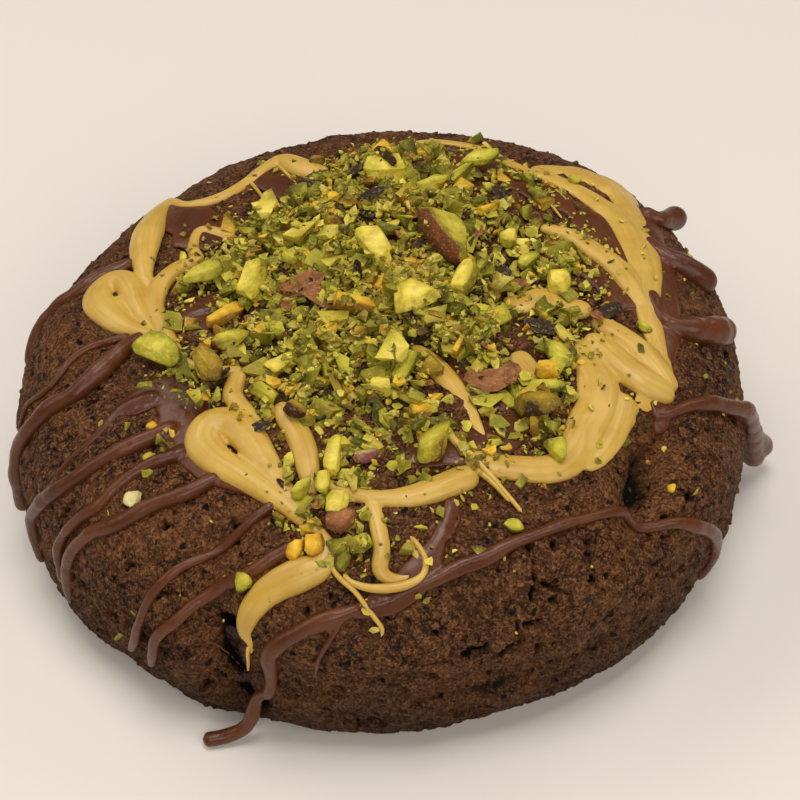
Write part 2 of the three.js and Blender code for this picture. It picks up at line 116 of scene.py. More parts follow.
def distance_to_route(u: np.ndarray, v: np.ndarray, route: Route) -> np.ndarray:
    """Distance of skin points from a route through skin points."""
    nearest = np.full(np.shape(u), np.inf)
    for (au, av, *_), (bu, bv, *_) in zip(route, route[1:]):
        run = (bu - au) ** 2 + (bv - av) ** 2
        share = np.clip(((u - au) * (bu - au) + (v - av) * (bv - av)) / run, 0.0, 1.0)
        nearest = np.minimum(nearest, np.hypot(u - au - share * (bu - au), v - av - share * (bv - av)))
    return nearest


@dataclass(frozen=True)
class Noise:
    """Repeatable noise over space.

    Attributes:
        seed: Changes the pattern.
    """

    seed: int = 1

    def _hash(self, cell: np.ndarray, channel: int) -> np.ndarray:
        """Random number from 0 to 1 for each whole-numbered cell."""
        x, y, z = (cell[..., i].astype(np.int64) for i in range(3))
        mixed = x * 73856093 ^ y * 19349663 ^ z * 83492791 ^ (self.seed * 7919 + channel * 104729)
        mixed = (mixed ^ (mixed >> 13)) * 1274126177 & 0x7FFFFFFF
        mixed = (mixed ^ (mixed >> 15)) * 2246822519 & 0x7FFFFFFF
        return (mixed % 100003) / 100003.0

    def soft(self, points: np.ndarray, size: float) -> np.ndarray:
        """Rolling noise from -1 to 1 whose waves are about size wide."""
        place = points / size
        cell = np.floor(place)
        share = place - cell
        share = share * share * (3.0 - 2.0 * share)
        total = np.zeros(len(points))
        for corner in np.ndindex(2, 2, 2):
            weight = np.prod(np.where(corner, share, 1.0 - share), axis=1)
            total += weight * self._hash(cell + corner, 0)
        return total * 2.0 - 1.0

    def cells(self, points: np.ndarray, size: float) -> tuple[np.ndarray, np.ndarray, np.ndarray]:
        """Scattered cells about size wide.

        Args:
            points: Places to look at.
            size: Width of a cell.

        Returns:
            Distance to the nearest cell centre, distance to the next one, both as shares
            of size, and a random number for the nearest cell.
        """
        place = points / size
        cell = np.floor(place)
        first = np.full(len(points), 9.0)
        second = np.full(len(points), 9.0)
        pick = np.zeros(len(points))
        for offset in np.ndindex(3, 3, 3):
            near = cell + np.array(offset) - 1
            centre = near + np.stack([self._hash(near, i) for i in (1, 2, 3)], axis=1)
            gap = np.linalg.norm(place - centre, axis=1)
            closer = gap < first
            second = np.where(closer, first, np.minimum(second, gap))
            pick = np.where(closer, self._hash(near, 4), pick)
            first = np.where(closer, gap, first)
        return first, second, pick


# ------------------------------------------------------------------ the crust's form


@dataclass(frozen=True)
class CrustForm:
    """The cookie's baked form, the same as in the construction model."""

    radius: float = 60.0
    crown: float = 37.0
    belly: float = 10.0
    foot: float = 0.9
    side_power: float = 4.0
    top_power: float = 3.2
    outline: tuple[float, float, float, float] = (-0.018, 0.029, -0.008, -0.01)
    hollows: tuple[tuple[Route, float, float], ...] = (
        (((44, -28), (41, -32), (40, -36), (39, -44)), 4.2, 2.6),
        (((-23.5, -48), (-26, -56), (-28, -64), (-27, -73)), 4.2, 3.0),
        (((-16, -69), (-4, -71), (10, -72), (30, -68)), 2.6, 0.9),
    )
    lumps: tuple[tuple[float, float, float, float], ...] = (
        (52, -34, 9, 1.6), (31, -50, 10, 1.2), (-36, -60, 9, 1.2), (-8, -64, 8, 1.0), (-52, -6, 10, 0.8),
    )

    @cached_property
    def section(self) -> dict[str, np.ndarray]:
        """Half section of the crust: s along it, r as a share of radius, z, and its outward normal."""
        lift = np.linspace(math.pi / 2, 0, 900)
        fall = np.linspace(0, math.pi / 2, 226)[1:]
        r = np.concatenate([np.cos(lift) ** (2 / self.side_power), self.foot + (1 - self.foot) * np.cos(fall)])
        z = np.concatenate([self.belly + (self.crown - self.belly) * np.sin(lift) ** (2 / self.top_power),
                            self.belly * (1 - np.sin(fall))])
        r[0] = 0.0
        s = np.concatenate([[0.0], np.cumsum(np.hypot(np.diff(r) * self.radius, np.diff(z)))])
        along_r, along_z = np.gradient(r * self.radius, s), np.gradient(z, s)
        size = np.hypot(along_r, along_z)
        return {"s": s, "r": r, "z": z, "out": -along_z / size, "up": along_r / size}

    @property
    def skirt(self) -> float:
        """Length of the crust from the crown to the foot."""
        return float(self.section["s"][-1])

    def outline_radius(self, angle: np.ndarray) -> np.ndarray:
        """Radius of the widest ring in direction angle."""
        cos2, sin2, cos3, sin3 = self.outline
        return self.radius * (1 + cos2 * np.cos(2 * angle) + sin2 * np.sin(2 * angle)
                              + cos3 * np.cos(3 * angle) + sin3 * np.sin(3 * angle))

    def relief(self, u: np.ndarray, v: np.ndarray) -> np.ndarray:
        """How far the baked crust stands off its smooth form."""
        total = np.zeros(np.shape(u))
        for route, reach, depth in self.hollows:
            total -= depth * np.exp(-((distance_to_route(u, v, route) / reach) ** 2))
        for at_u, at_v, reach, height in self.lumps:
            total += height * np.exp(-(((u - at_u) ** 2 + (v - at_v) ** 2) / reach**2))
        return total * smooth_step(self.skirt - np.hypot(u, v), 0.0, 8.0)

    def place(self, u: np.ndarray, v: np.ndarray, lift: np.ndarray | float = 0.0) -> tuple[np.ndarray, np.ndarray]:
        """Places on the crust.

        Args:
            u: Skin coordinate to the right.
            v: Skin coordinate to the back.
            lift: Height above the crust.

        Returns:
            Points and the crust's outward normals there.
        """
        table = self.section
        s, angle = np.hypot(u, v), np.arctan2(v, u)
        across, rise, out, up = (np.interp(s, table["s"], table[key]) for key in ("r", "z", "out", "up"))
        radius = self.outline_radius(angle) * across
        normal = np.stack([out * np.cos(angle), out * np.sin(angle), up], axis=-1)
        normal /= np.linalg.norm(normal, axis=-1, keepdims=True)
        point = np.stack([radius * np.cos(angle), radius * np.sin(angle), rise], axis=-1)
        return point + normal * np.asarray(self.relief(u, v) + lift)[..., None], normal

    def spot(self, u: float, v: float, lift: float = 0.0) -> tuple[np.ndarray, np.ndarray]:
        """One place on the crust and its outward normal, for arguments as in place."""
        point, normal = self.place(np.array([u]), np.array([v]), lift)
        return point[0], normal[0]


@dataclass
class Line:
    """Stations along a strand or a ribbon.

    Attributes:
        point: Where each station is.
        up: Which way is away from what it lies on.
        width: How wide it is there.
    """

    point: np.ndarray
    up: np.ndarray
    width: np.ndarray

    @cached_property
    def ahead(self) -> np.ndarray:
        """Direction of travel at each station."""
        run = np.gradient(self.point, axis=0)
        return run / np.linalg.norm(run, axis=1, keepdims=True)

    @cached_property
    def travelled(self) -> np.ndarray:
        """Distance from the first station."""
        return np.concatenate([[0.0], np.cumsum(np.linalg.norm(np.diff(self.point, axis=0), axis=1))])

    @cached_property
    def across(self) -> np.ndarray:
        """Direction to the side at each station."""
        side = np.cross(self.up, self.ahead)
        return side / np.linalg.norm(side, axis=1, keepdims=True)

    def end_taper(self, roundness: float = 1.0) -> np.ndarray:
        """Share of the width left at each station, so that both ends are rounded."""
        reach = np.maximum(self.width * 0.5 * roundness, 1e-6)
        to_end = np.minimum(self.travelled, self.travelled[-1] - self.travelled)
        short = np.clip(1.0 - to_end / reach, 0.0, 1.0)
        return np.sqrt(np.maximum(1.0 - short**2, THIN_END))

    def swelled(self, noise: "Noise", strength: float, size: float) -> "Line":
        """The same line with a width that swells and shrinks by a share, in waves about size long."""
        return replace(self, width=self.width * (1.0 + strength * noise.soft(self.point, size)))


def laid(form: CrustForm, route: Route, step: float, lift: float = 0.0, free: Route = ()) -> Line:
    """Lay a route of (u, v, width) on the crust, and let it go on through free points.

    Args:
        form: The crust.
        route: Places on the crust.
        step: Distance between stations.
        lift: Height of the line above the crust, as a share of its width.
        free: Points (x, y, z, width) after the crust is left.

    Returns:
        The stations.
    """
    rows = through(np.array(route, float), step)
    point, up = form.place(rows[:, 0], rows[:, 1], rows[:, 2] * lift)
    width = rows[:, 2]
    if len(free):
        joint = np.vstack([np.column_stack([point[-1:], width[-1:]]), np.array(free, float)])
        more = through(joint, step)[1:]
        out = more[:, :3] * [1, 1, 0] / np.linalg.norm(more[:, :2], axis=1, keepdims=True) + [0, 0, 0.4]
        out /= np.linalg.norm(out, axis=1, keepdims=True)
        point, up, width = np.vstack([point, more[:, :3]]), np.vstack([up, out]), np.append(width, more[:, 3])
    return Line(point, up, width)


# ------------------------------------------------------------------ meshes


@dataclass
class Shape:
    """A mesh in millimetres on its way to a piece.

    Attributes:
        points: Corner places.
        faces: Corners of each face.
        marks: Values at the corners, by name: a number or a vector each.
    """

    points: np.ndarray
    faces: Faces
    marks: dict[str, np.ndarray] = field(default_factory=dict)

    def mesh(self, name: str) -> bpy.types.Mesh:
        """The shape as a Blender mesh."""
        mesh = bpy.data.meshes.new(name)
        mesh.from_pydata(self.points.tolist(), [], self.faces)
        for mark, values in self.marks.items():
            store_mark(mesh, mark, values)
        mesh.update()
        return mesh

    def object(self, name: str) -> bpy.types.Object:
        """The shape as an object in the scene."""
        return in_scene(name, self.mesh(name))

    def moved(self, turn: Matrix, place: np.ndarray) -> "Shape":
        """The shape turned about its origin and then moved to a place."""
        return replace(self, points=self.points @ np.array(turn).T + place)


def in_scene(name: str, data: bpy.types.ID) -> bpy.types.Object:
    """Put a mesh, a lamp or a camera in the scene as an object."""
    made = bpy.data.objects.new(name, data)
    bpy.context.scene.collection.objects.link(made)
    return made


def store_mark(mesh: bpy.types.Mesh, mark: str, values: np.ndarray) -> None:
    """Write values at a mesh's corners as a named attribute."""
    values = np.asarray(values, np.float32)
    kind, slot = {1: ("FLOAT", "value"), 3: ("FLOAT_VECTOR", "vector"), 4: ("FLOAT_COLOR", "color")}[
        1 if values.ndim == 1 else values.shape[1]]
    attribute = mesh.attributes.get(mark) or mesh.attributes.new(mark, kind, "POINT")
    attribute.data.foreach_set(slot, values.ravel())


def corner_places(mesh: bpy.types.Mesh) -> np.ndarray:
    """The places of a mesh's corners."""
    places = np.empty(len(mesh.vertices) * 3, np.float32)
    mesh.vertices.foreach_get("co", places)
    return places.reshape(-1, 3).astype(float)


def taken_off(bm: bmesh.types.BMesh) -> tuple[np.ndarray, Faces]:
    """Corner places and faces of an edit mesh, which is freed."""
    bm.verts.index_update()
    points = np.array([vert.co for vert in bm.verts])
    faces = [tuple(vert.index for vert in face.verts) for face in bm.faces]
    bm.free()
    return points, faces


def joined(shapes: Sequence[Shape]) -> Shape:
    """Several shapes as one."""
    faces: Faces = []
    start = 0
    for shape in shapes:
        faces.extend(tuple(i + start for i in face) for face in shape.faces)
        start += len(shape.points)
    marks = {mark: np.concatenate([shape.marks[mark] for shape in shapes]) for mark in shapes[0].marks}
    return Shape(np.vstack([shape.points for shape in shapes]), faces, marks)


def strip(half_height: float) -> Outline:
    """Outline of a flat strip as wide as its line."""
    return lambda width, turn: (width * 0.5 * np.cos(turn), half_height * np.sin(turn) + 0 * width)


def swept(line: Line, outline: Outline, sides: int) -> Shape:
    """Sweep a closed outline along a line.

    Args:
        line: The stations.
        outline: From widths and angles to offsets across and up.
        sides: Corners of the outline.

    Returns:
        A closed shape.
    """
    turns = np.linspace(0, 2 * math.pi, sides, endpoint=False)
    side, rise = outline(line.width[:, None], turns[None, :])
    taper = line.end_taper()[:, None]
    upward = np.cross(line.ahead, line.across)
    ring = (line.point[:, None, :] + line.across[:, None, :] * (side * taper)[..., None]
            + upward[:, None, :] * (rise * taper)[..., None])
    count = len(line.point)
    points = ring.reshape(-1, 3)
    faces = [(i * sides + j, i * sides + (j + 1) % sides, (i + 1) * sides + (j + 1) % sides, (i + 1) * sides + j)
             for i in range(count - 1) for j in range(sides)]
    faces.append(tuple(reversed(range(sides))))
    faces.append(tuple(range((count - 1) * sides, count * sides)))
    return Shape(points, faces)


def evaluated(obj: bpy.types.Object, name: str) -> bpy.types.Object:
    """Replace an object by a plain one that holds what its modifiers make."""
    graph = bpy.context.evaluated_depsgraph_get()
    made = obj.evaluated_get(graph)
    mesh = bpy.data.meshes.new_from_object(made, preserve_all_data_layers=True, depsgraph=graph)
    mesh.name = name
    bpy.data.objects.remove(obj)
    return in_scene(name, mesh)


def fused(obj: bpy.types.Object, name: str, grain: float, melt: int) -> bpy.types.Object:
    """Melt overlapping shapes into one skin.

    Args:
        obj: The overlapping shapes.
        name: Name of the result.
        grain: Size of the new skin's faces.
        melt: How often the skin is relaxed.

    Returns:
        The new object.
    """
    remesh = obj.modifiers.new("fuse", "REMESH")
    remesh.mode = "VOXEL"
    remesh.voxel_size = grain
    relax = obj.modifiers.new("melt", "SMOOTH")
    relax.factor = 0.5
    relax.iterations = melt
    return evaluated(obj, name)


def settle(obj: bpy.types.Object, finish: "Finish", nodes: Sequence[str] = (),
           smooth: bool = True) -> bpy.types.Object:
    """Make a shape a piece of the cookie: metres, finish, body and the nodes it stands for."""
    obj.data.transform(Matrix.Scale(MM, 4))
    obj.data.materials.clear()
    obj.data.materials.append(finish.material)
    obj.data.polygons.foreach_set("use_smooth", [smooth] * len(obj.data.polygons))
    obj.data.update()
    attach(obj, BODY)
    if nodes:
        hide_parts(*nodes)
    LOG.info("%s: %d faces", obj.name, len(obj.data.polygons))
    return obj


# ------------------------------------------------------------------ node trees


@dataclass
class Bench:
    """Adds and wires the nodes of one tree."""

    tree: bpy.types.NodeTree

    def feed(self, node: bpy.types.Node, inputs: Mapping[Any, Any]) -> bpy.types.Node:
        """Give a node's inputs, by name or number, their values or sockets."""
        for key, value in inputs.items():
            if isinstance(value, bpy.types.NodeSocket):
                self.tree.links.new(value, node.inputs[key])
            else:
                node.inputs[key].default_value = value
        return node

    def add(self, kind: str, inputs: Mapping[Any, Any] | None = None, **settings: Any) -> bpy.types.Node:
        """Add a node.

        Args:
            kind: The node's type.
            inputs: Values or sockets for its inputs, by name or number.
            **settings: Its properties.

        Returns:
            The node.
        """
        node = self.tree.nodes.new(kind)
        for key, value in settings.items():
            setattr(node, key, value)
        return self.feed(node, inputs or {})

    def math(self, operation: str, *values: Any) -> bpy.types.NodeSocket:
        """Calculate with values or sockets."""
        return self.add("ShaderNodeMath", dict(enumerate(values)), operation=operation).outputs[0]

    def blend(self, share: Any, first: Any, second: Any, mode: str = "MIX") -> bpy.types.NodeSocket:
        """Blend two colours."""
        node = self.add("ShaderNodeMix", {0: share, 6: first, 7: second}, data_type="RGBA", blend_type=mode)
        return node.outputs[2]

    def span(self, value: Any, low: float, high: float, start: float = 0.0, end: float = 1.0) -> bpy.types.NodeSocket:
        """Map values from low to high to values from start to end, held at both ends."""
        return self.add("ShaderNodeMapRange", {0: value, 1: low, 2: high, 3: start, 4: end}).outputs[0]

    def noise(self, place: Any, scale: Any, **more: float) -> bpy.types.Node:
        """Add a noise texture."""
        return self.add("ShaderNodeTexNoise", {"Vector": place, "Scale": scale, **more})

    def bump(self, height: Any, strength: float, depth: float, **more: Any) -> bpy.types.NodeSocket:
        """Bend the surface's normal by heights, with a depth in millimetres."""
        inputs = {"Height": height, "Strength": strength, "Distance": depth * MM, **more}
        return self.add("ShaderNodeBump", inputs).outputs[0]

    def mark(self, name: str) -> bpy.types.Node:
        """Read a mark that is stored on the mesh."""
        return self.add("ShaderNodeAttribute", attribute_name=name)

    def mottle(self, place: Any, size: float, contrast: float = 1.0) -> bpy.types.NodeSocket:
        """Place the shared soft patches."""
        inputs = {"Place": place, "Size": size, "Contrast": contrast}
        return self.add("ShaderNodeGroup", inputs, node_tree=SharedEffects.mottle()).outputs["Mask"]

    def crumb(self, place: Any, grain: float) -> Any:
        """Place the shared baked crumb and return its outputs."""
        return self.add("ShaderNodeGroup", {"Place": place, "Grain": grain}, node_tree=SharedEffects.crumb()).outputs


class SharedEffects:
    """Shader groups that more than one finish uses, each made once."""

    @staticmethod
    def _start(name: str, numbers: Mapping[str, float], outputs: Sequence[str]) -> tuple[Bench, Any]:
        """Start a group that takes a place and named numbers.

        Args:
            name: The group's name.
            numbers: Its numbers with their usual values.
            outputs: Its results.

        Returns:
            A bench for the group, and the sockets of what it is given.
        """
        tree = bpy.data.node_groups.new(name, "ShaderNodeTree")
        tree.interface.new_socket("Place", in_out="INPUT", socket_type="NodeSocketVector")
        for label, usual in numbers.items():
            tree.interface.new_socket(label, in_out="INPUT", socket_type="NodeSocketFloat").default_value = usual
        for label in outputs:
            tree.interface.new_socket(label, in_out="OUTPUT", socket_type="NodeSocketFloat")
        bench = Bench(tree)
        return bench, bench.add("NodeGroupInput").outputs

    @staticmethod
    @cache
    def mottle() -> bpy.types.NodeTree:
        """Soft patches. Size is their width in millimetres."""
        bench, given = SharedEffects._start("soft_mottle", {"Size": 5.0, "Contrast": 1.0}, ["Mask"])
        scale = bench.math("DIVIDE", 1 / MM, given["Size"])
        fine = bench.noise(given["Place"], scale, Detail=4.0, Roughness=0.6)
        centred = bench.math("SUBTRACT", fine.outputs[0], 0.5)
        pushed = bench.math("MULTIPLY_ADD", centred, bench.math("MULTIPLY", given["Contrast"], 2.5), 0.5)
        bench.add("NodeGroupOutput", {"Mask": bench.add("ShaderNodeClamp", {0: pushed}).outputs[0]})
        return bench.tree

    @staticmethod
    @cache
    def crumb() -> bpy.types.NodeTree:
        """Baked crumb: lumpy grains parted by fine crooked cracks. Grain is their width in millimetres."""
        bench, given = SharedEffects._start("baked_crumb", {"Grain": 0.8}, ["Height", "Crevice", "Grit"])
        place, grain = given["Place"], given["Grain"]
        scale = bench.math("DIVIDE", 1 / MM, grain)
        rough_scale, pit_scale, patch_scale = (bench.math("MULTIPLY", scale, k) for k in (1.6, 1.5, 0.35))
        warp = bench.noise(place, scale, Detail=3.0).outputs["Color"]
        pushed = bench.add("ShaderNodeVectorMath", {0: warp, 3: bench.math("MULTIPLY", grain, 1.5 * MM)},
                           operation="SCALE").outputs[0]
        moved = bench.add("ShaderNodeVectorMath", {0: place, 1: pushed}, operation="ADD").outputs[0]
        edges = bench.add("ShaderNodeTexVoronoi", {"Vector": moved, "Scale": scale},
                          feature="DISTANCE_TO_EDGE").outputs["Distance"]
        rough = bench.noise(place, rough_scale, Detail=6.0, Roughness=0.78).outputs[0]
        pits = bench.add("ShaderNodeTexVoronoi", {"Vector": moved, "Scale": pit_scale})
        draw = bench.add("ShaderNodeSeparateColor", {0: pits.outputs["Color"]}).outputs[0]
        reach = bench.span(draw, 0.7, 1.0, -0.1, 0.44)
        hole = bench.span(bench.math("SUBTRACT", pits.outputs["Distance"], reach), -0.08, 0.03, 1.0, 0.0)
        patchy = bench.noise(place, patch_scale, Detail=2.0).outputs[0]
        parting = bench.span(bench.math("MULTIPLY_ADD", rough, 0.3, edges), 0.15, 0.25, 1.0, 0.0)
        crack = bench.math("MULTIPLY", parting, bench.span(patchy, 0.45, 0.6))
        raised = bench.math("MULTIPLY_ADD", rough, 2.0, bench.math("MINIMUM", edges, 0.4))
        crevice = bench.math("MAXIMUM", crack, hole)
        bench.add("NodeGroupOutput", {"Height": raised, "Crevice": crevice, "Grit": rough})
        return bench.tree


def glow(weight: float, radius: tuple[float, float, float]) -> dict[str, Any]:
    """Shader inputs for light that goes into a soft surface, by a radius in millimetres for each colour."""
    return {"Subsurface Weight": weight, "Subsurface Radius": radius, "Subsurface Scale": MM}


class Finish:
    """What every finish of the cookie has: a slot and one material, made when first used."""

    slot: str
    name: str

    @cached_property
    def material(self) -> bpy.types.Material:
        """The finish's material."""
        made = bpy.data.materials.new(self.name)
        made.use_nodes = True
        made.node_tree.nodes.clear()
        bench = Bench(made.node_tree)
        shader = bench.add("ShaderNodeBsdfPrincipled")
        bench.add("ShaderNodeOutputMaterial", {"Surface": shader.outputs[0]})
        bench.feed(shader, self.dress(bench, bench.add("ShaderNodeTexCoord").outputs["Object"]))
        return made

    def dress(self, bench: Bench, place: bpy.types.NodeSocket) -> dict[str, Any]:
        """Make the finish's colour, roughness and relief.

        Args:
            bench: Where nodes are added.
            place: The place on the piece.

        Returns:
            What the shader's inputs get.
        """
        raise NotImplementedError


@dataclass(eq=False)
class BakedCrust(Finish):
    """Matte porous chocolate crust."""

    slot: str = "crust"
    name: str = "baked_crust"
    mid: Colour = (108, 65, 35)
    # light: partly the grains' own paler colour, partly painted highlight on raised grains
    light: Colour = (184, 128, 80)
    golden: Colour = (130, 78, 38)
    # shade: partly darker pores, partly painted shade in the low places between grains
    shade: Colour = (54, 29, 15)
    # crevice: colour of the painted shade in cracks, pits, hollows and towards the foot
    crevice: Colour = (14, 6, 3)
    # dark_below: height in millimetres up to which painted shade darkens the foot
    dark_below: float = 20.0
    fine_grain: float = 0.7
    coarse_grain: float = 2.1

    def dress(self, bench: Bench, place: bpy.types.NodeSocket) -> dict[str, Any]:
        """Make grains with painted highlight on their raised tops and painted shade between them, warm patches,
        painted shade in the crevices, the hollows and towards the foot, and a dry surface.
        """
        fine, coarse = bench.crumb(place, self.fine_grain), bench.crumb(place, self.coarse_grain)
        base = bench.blend(bench.mottle(place, 11.0, 1.8), linear(*self.mid), linear(*self.golden))
        grit = bench.math("MULTIPLY_ADD", coarse["Grit"], 0.35, bench.math("MULTIPLY", fine["Grit"], 0.65))
        # Painted highlight: the light colour on the raised, smoother grains
        grain_with_highlight = bench.blend(bench.span(grit, 0.5, 0.59), base, linear(*self.light))
        # Painted shade: the shade colour in the low places between the grains
        grain_with_highlight_and_shade = bench.blend(bench.span(grit, 0.41, 0.5, 0.9, 0.0), grain_with_highlight, linear(*self.shade))
        # Painted shade: the crevice colour goes into the cracks and pits
        cracks = bench.math("MAXIMUM", bench.math("MULTIPLY", fine["Crevice"], 0.9), coarse["Crevice"])
        height = bench.add("ShaderNodeSeparateXYZ", {0: place}).outputs[2]
        # Painted shade: darker towards the foot
        foot = bench.span(height, 0.001, self.dark_below * MM, 0.7, 0.0)
        # Painted shade in the hollows marked on the body
        painted_hollow_shade = bench.span(bench.mark("painted_hollow_shade").outputs["Fac"], 0.15, 0.8)
        # All painted shade: cracks and pits, the foot and the hollows, in the crevice colour
        dark = bench.math("MAXIMUM", bench.math("MAXIMUM", cracks, foot), painted_hollow_shade)
        ridge = bench.bump(bench.math("MULTIPLY_ADD", fine["Crevice"], -0.8, fine["Height"]), 1.0, 0.36)
        fall = bench.math("MULTIPLY_ADD", coarse["Crevice"], -0.9, coarse["Height"])
        return {"Base Color": bench.blend(dark, grain_with_highlight_and_shade, linear(*self.crevice)),
                "Normal": bench.bump(fall, 0.9, 0.6, Normal=ridge),
                "Roughness": bench.span(grit, 0.4, 0.6, 0.7, 0.44), "Specular IOR Level": 0.2}


@dataclass(eq=False)
class SetChocolate(Finish):
    """Satin milk chocolate that set as it ran."""

    slot: str = "chocolate"
    name: str = "set_chocolate"
    mid: Colour = (77, 38, 16)
    light: Colour = (100, 54, 25)

    def dress(self, bench: Bench, place: bpy.types.NodeSocket) -> dict[str, Any]:
        """Make soft colour drift, a faint bloom and small ripples."""
        bloom = bench.mottle(place, 1.6, 1.2)
        return {"Base Color": bench.blend(bench.mottle(place, 9.0), linear(*self.mid), linear(*self.light)),
                "Roughness": bench.span(bloom, 0.0, 1.0, 0.26, 0.36), "Normal": bench.bump(bloom, 0.2, 0.3),
                "Specular IOR Level": 0.34, **glow(0.06, (0.6, 0.3, 0.2))}


@dataclass(eq=False)
class MoltenFilling(Finish):
    """Dark glossy filling that shows in the split crust."""

    slot: str = "chocolate"
    name: str = "molten_filling"
    mid: Colour = (30, 11, 7)
    edge: Colour = (58, 24, 14)

    def dress(self, bench: Bench, place: bpy.types.NodeSocket) -> dict[str, Any]:
        """Make a dark wet surface with folds."""
        folds = bench.mottle(place, 1.8, 1.4)
        return {"Base Color": bench.blend(folds, linear(*self.mid), linear(*self.edge)),
                "Roughness": bench.span(folds, 0.0, 1.0, 0.14, 0.3), "Normal": bench.bump(folds, 0.6, 0.6),
                "Specular IOR Level": 0.35}


@dataclass(eq=False)
class SoftCream(Finish):
    """Soft satin pistachio cream with streaks along its flow."""

    slot: str = "cream"
    name: str = "soft_cream"
    mid: Colour = (195, 155, 60)
    light: Colour = (208, 171, 80)
    deep: Colour = (166, 122, 42)
    stretch: tuple[float, float, float] = (1.9, 0.09, 1.0)

    def dress(self, bench: Bench, place: bpy.types.NodeSocket) -> dict[str, Any]:
        """Make flow streaks, pin holes and a gentle glow."""
        flow = {"Vector": bench.mark("flow").outputs["Vector"], "Scale": self.stretch}
        streak = bench.noise(bench.add("ShaderNodeMapping", flow).outputs[0], 1.0, Detail=3.0).outputs[0]
        fine = bench.mottle(place, 0.9, 1.2)
        drift = bench.span(bench.mottle(place, 7.0), 0.2, 0.8)
        base = bench.blend(drift, linear(*self.mid), linear(*self.light))
        height = bench.math("MULTIPLY_ADD", streak, 1.0, bench.math("MULTIPLY", fine, 0.1))
        return {"Base Color": bench.blend(bench.span(streak, 0.42, 0.75, 0.0, 0.4), base, linear(*self.deep)),
                "Roughness": bench.span(fine, 0.0, 1.0, 0.32, 0.44), "Normal": bench.bump(height, 0.18, 0.4),
                **glow(0.25, (1.2, 0.8, 0.35))}


@dataclass(eq=False)
class CutNut(Finish):
    """Pistachio flesh and skin, coloured by the tint stored on each piece."""

    slot: str = "kernel"
    name: str = "cut_nut"
    gritty: float = 0.14
    patch: Colour = (176, 160, 70)
    pale: Colour = (240, 226, 150)

    def dress(self, bench: Bench, place: bpy.types.NodeSocket) -> dict[str, Any]:
        """Use the stored tint, broken up by fine grit."""
        grit = bench.mottle(place, 0.55, 1.4)
        patches = bench.span(bench.mottle(place, 2.2), 0.2, 0.9, 0.4, 0.0)
        darker = bench.blend(patches, bench.mark("tint").outputs["Color"], linear(*self.patch), "MULTIPLY")
        return {"Base Color": bench.blend(bench.span(grit, 0.62, 1.0, 0.0, self.gritty), darker, linear(*self.pale)),
                "Roughness": bench.span(grit, 0.0, 1.0, 0.5, 0.72), "Normal": bench.bump(grit, 0.45, 0.25),
                "Specular IOR Level": 0.25, **glow(0.18, (1.1, 0.9, 0.25))}


@dataclass(eq=False)
class PaleFloor(Finish):
    """Plain pale floor."""

    slot: str = ""
    name: str = "pale_floor"
    tone: Colour = (224, 217, 208)
    lighter: Colour = (228, 221, 212)

    def dress(self, bench: Bench, place: bpy.types.NodeSocket) -> dict[str, Any]:
        """Make a faintly uneven matte surface."""
        cloud = bench.mottle(place, 260.0, 0.4)
        return {"Base Color": bench.blend(cloud, linear(*self.tone), linear(*self.lighter)),
                "Roughness": 0.55, "Specular IOR Level": 0.2}


# ------------------------------------------------------------------ the baked cookie


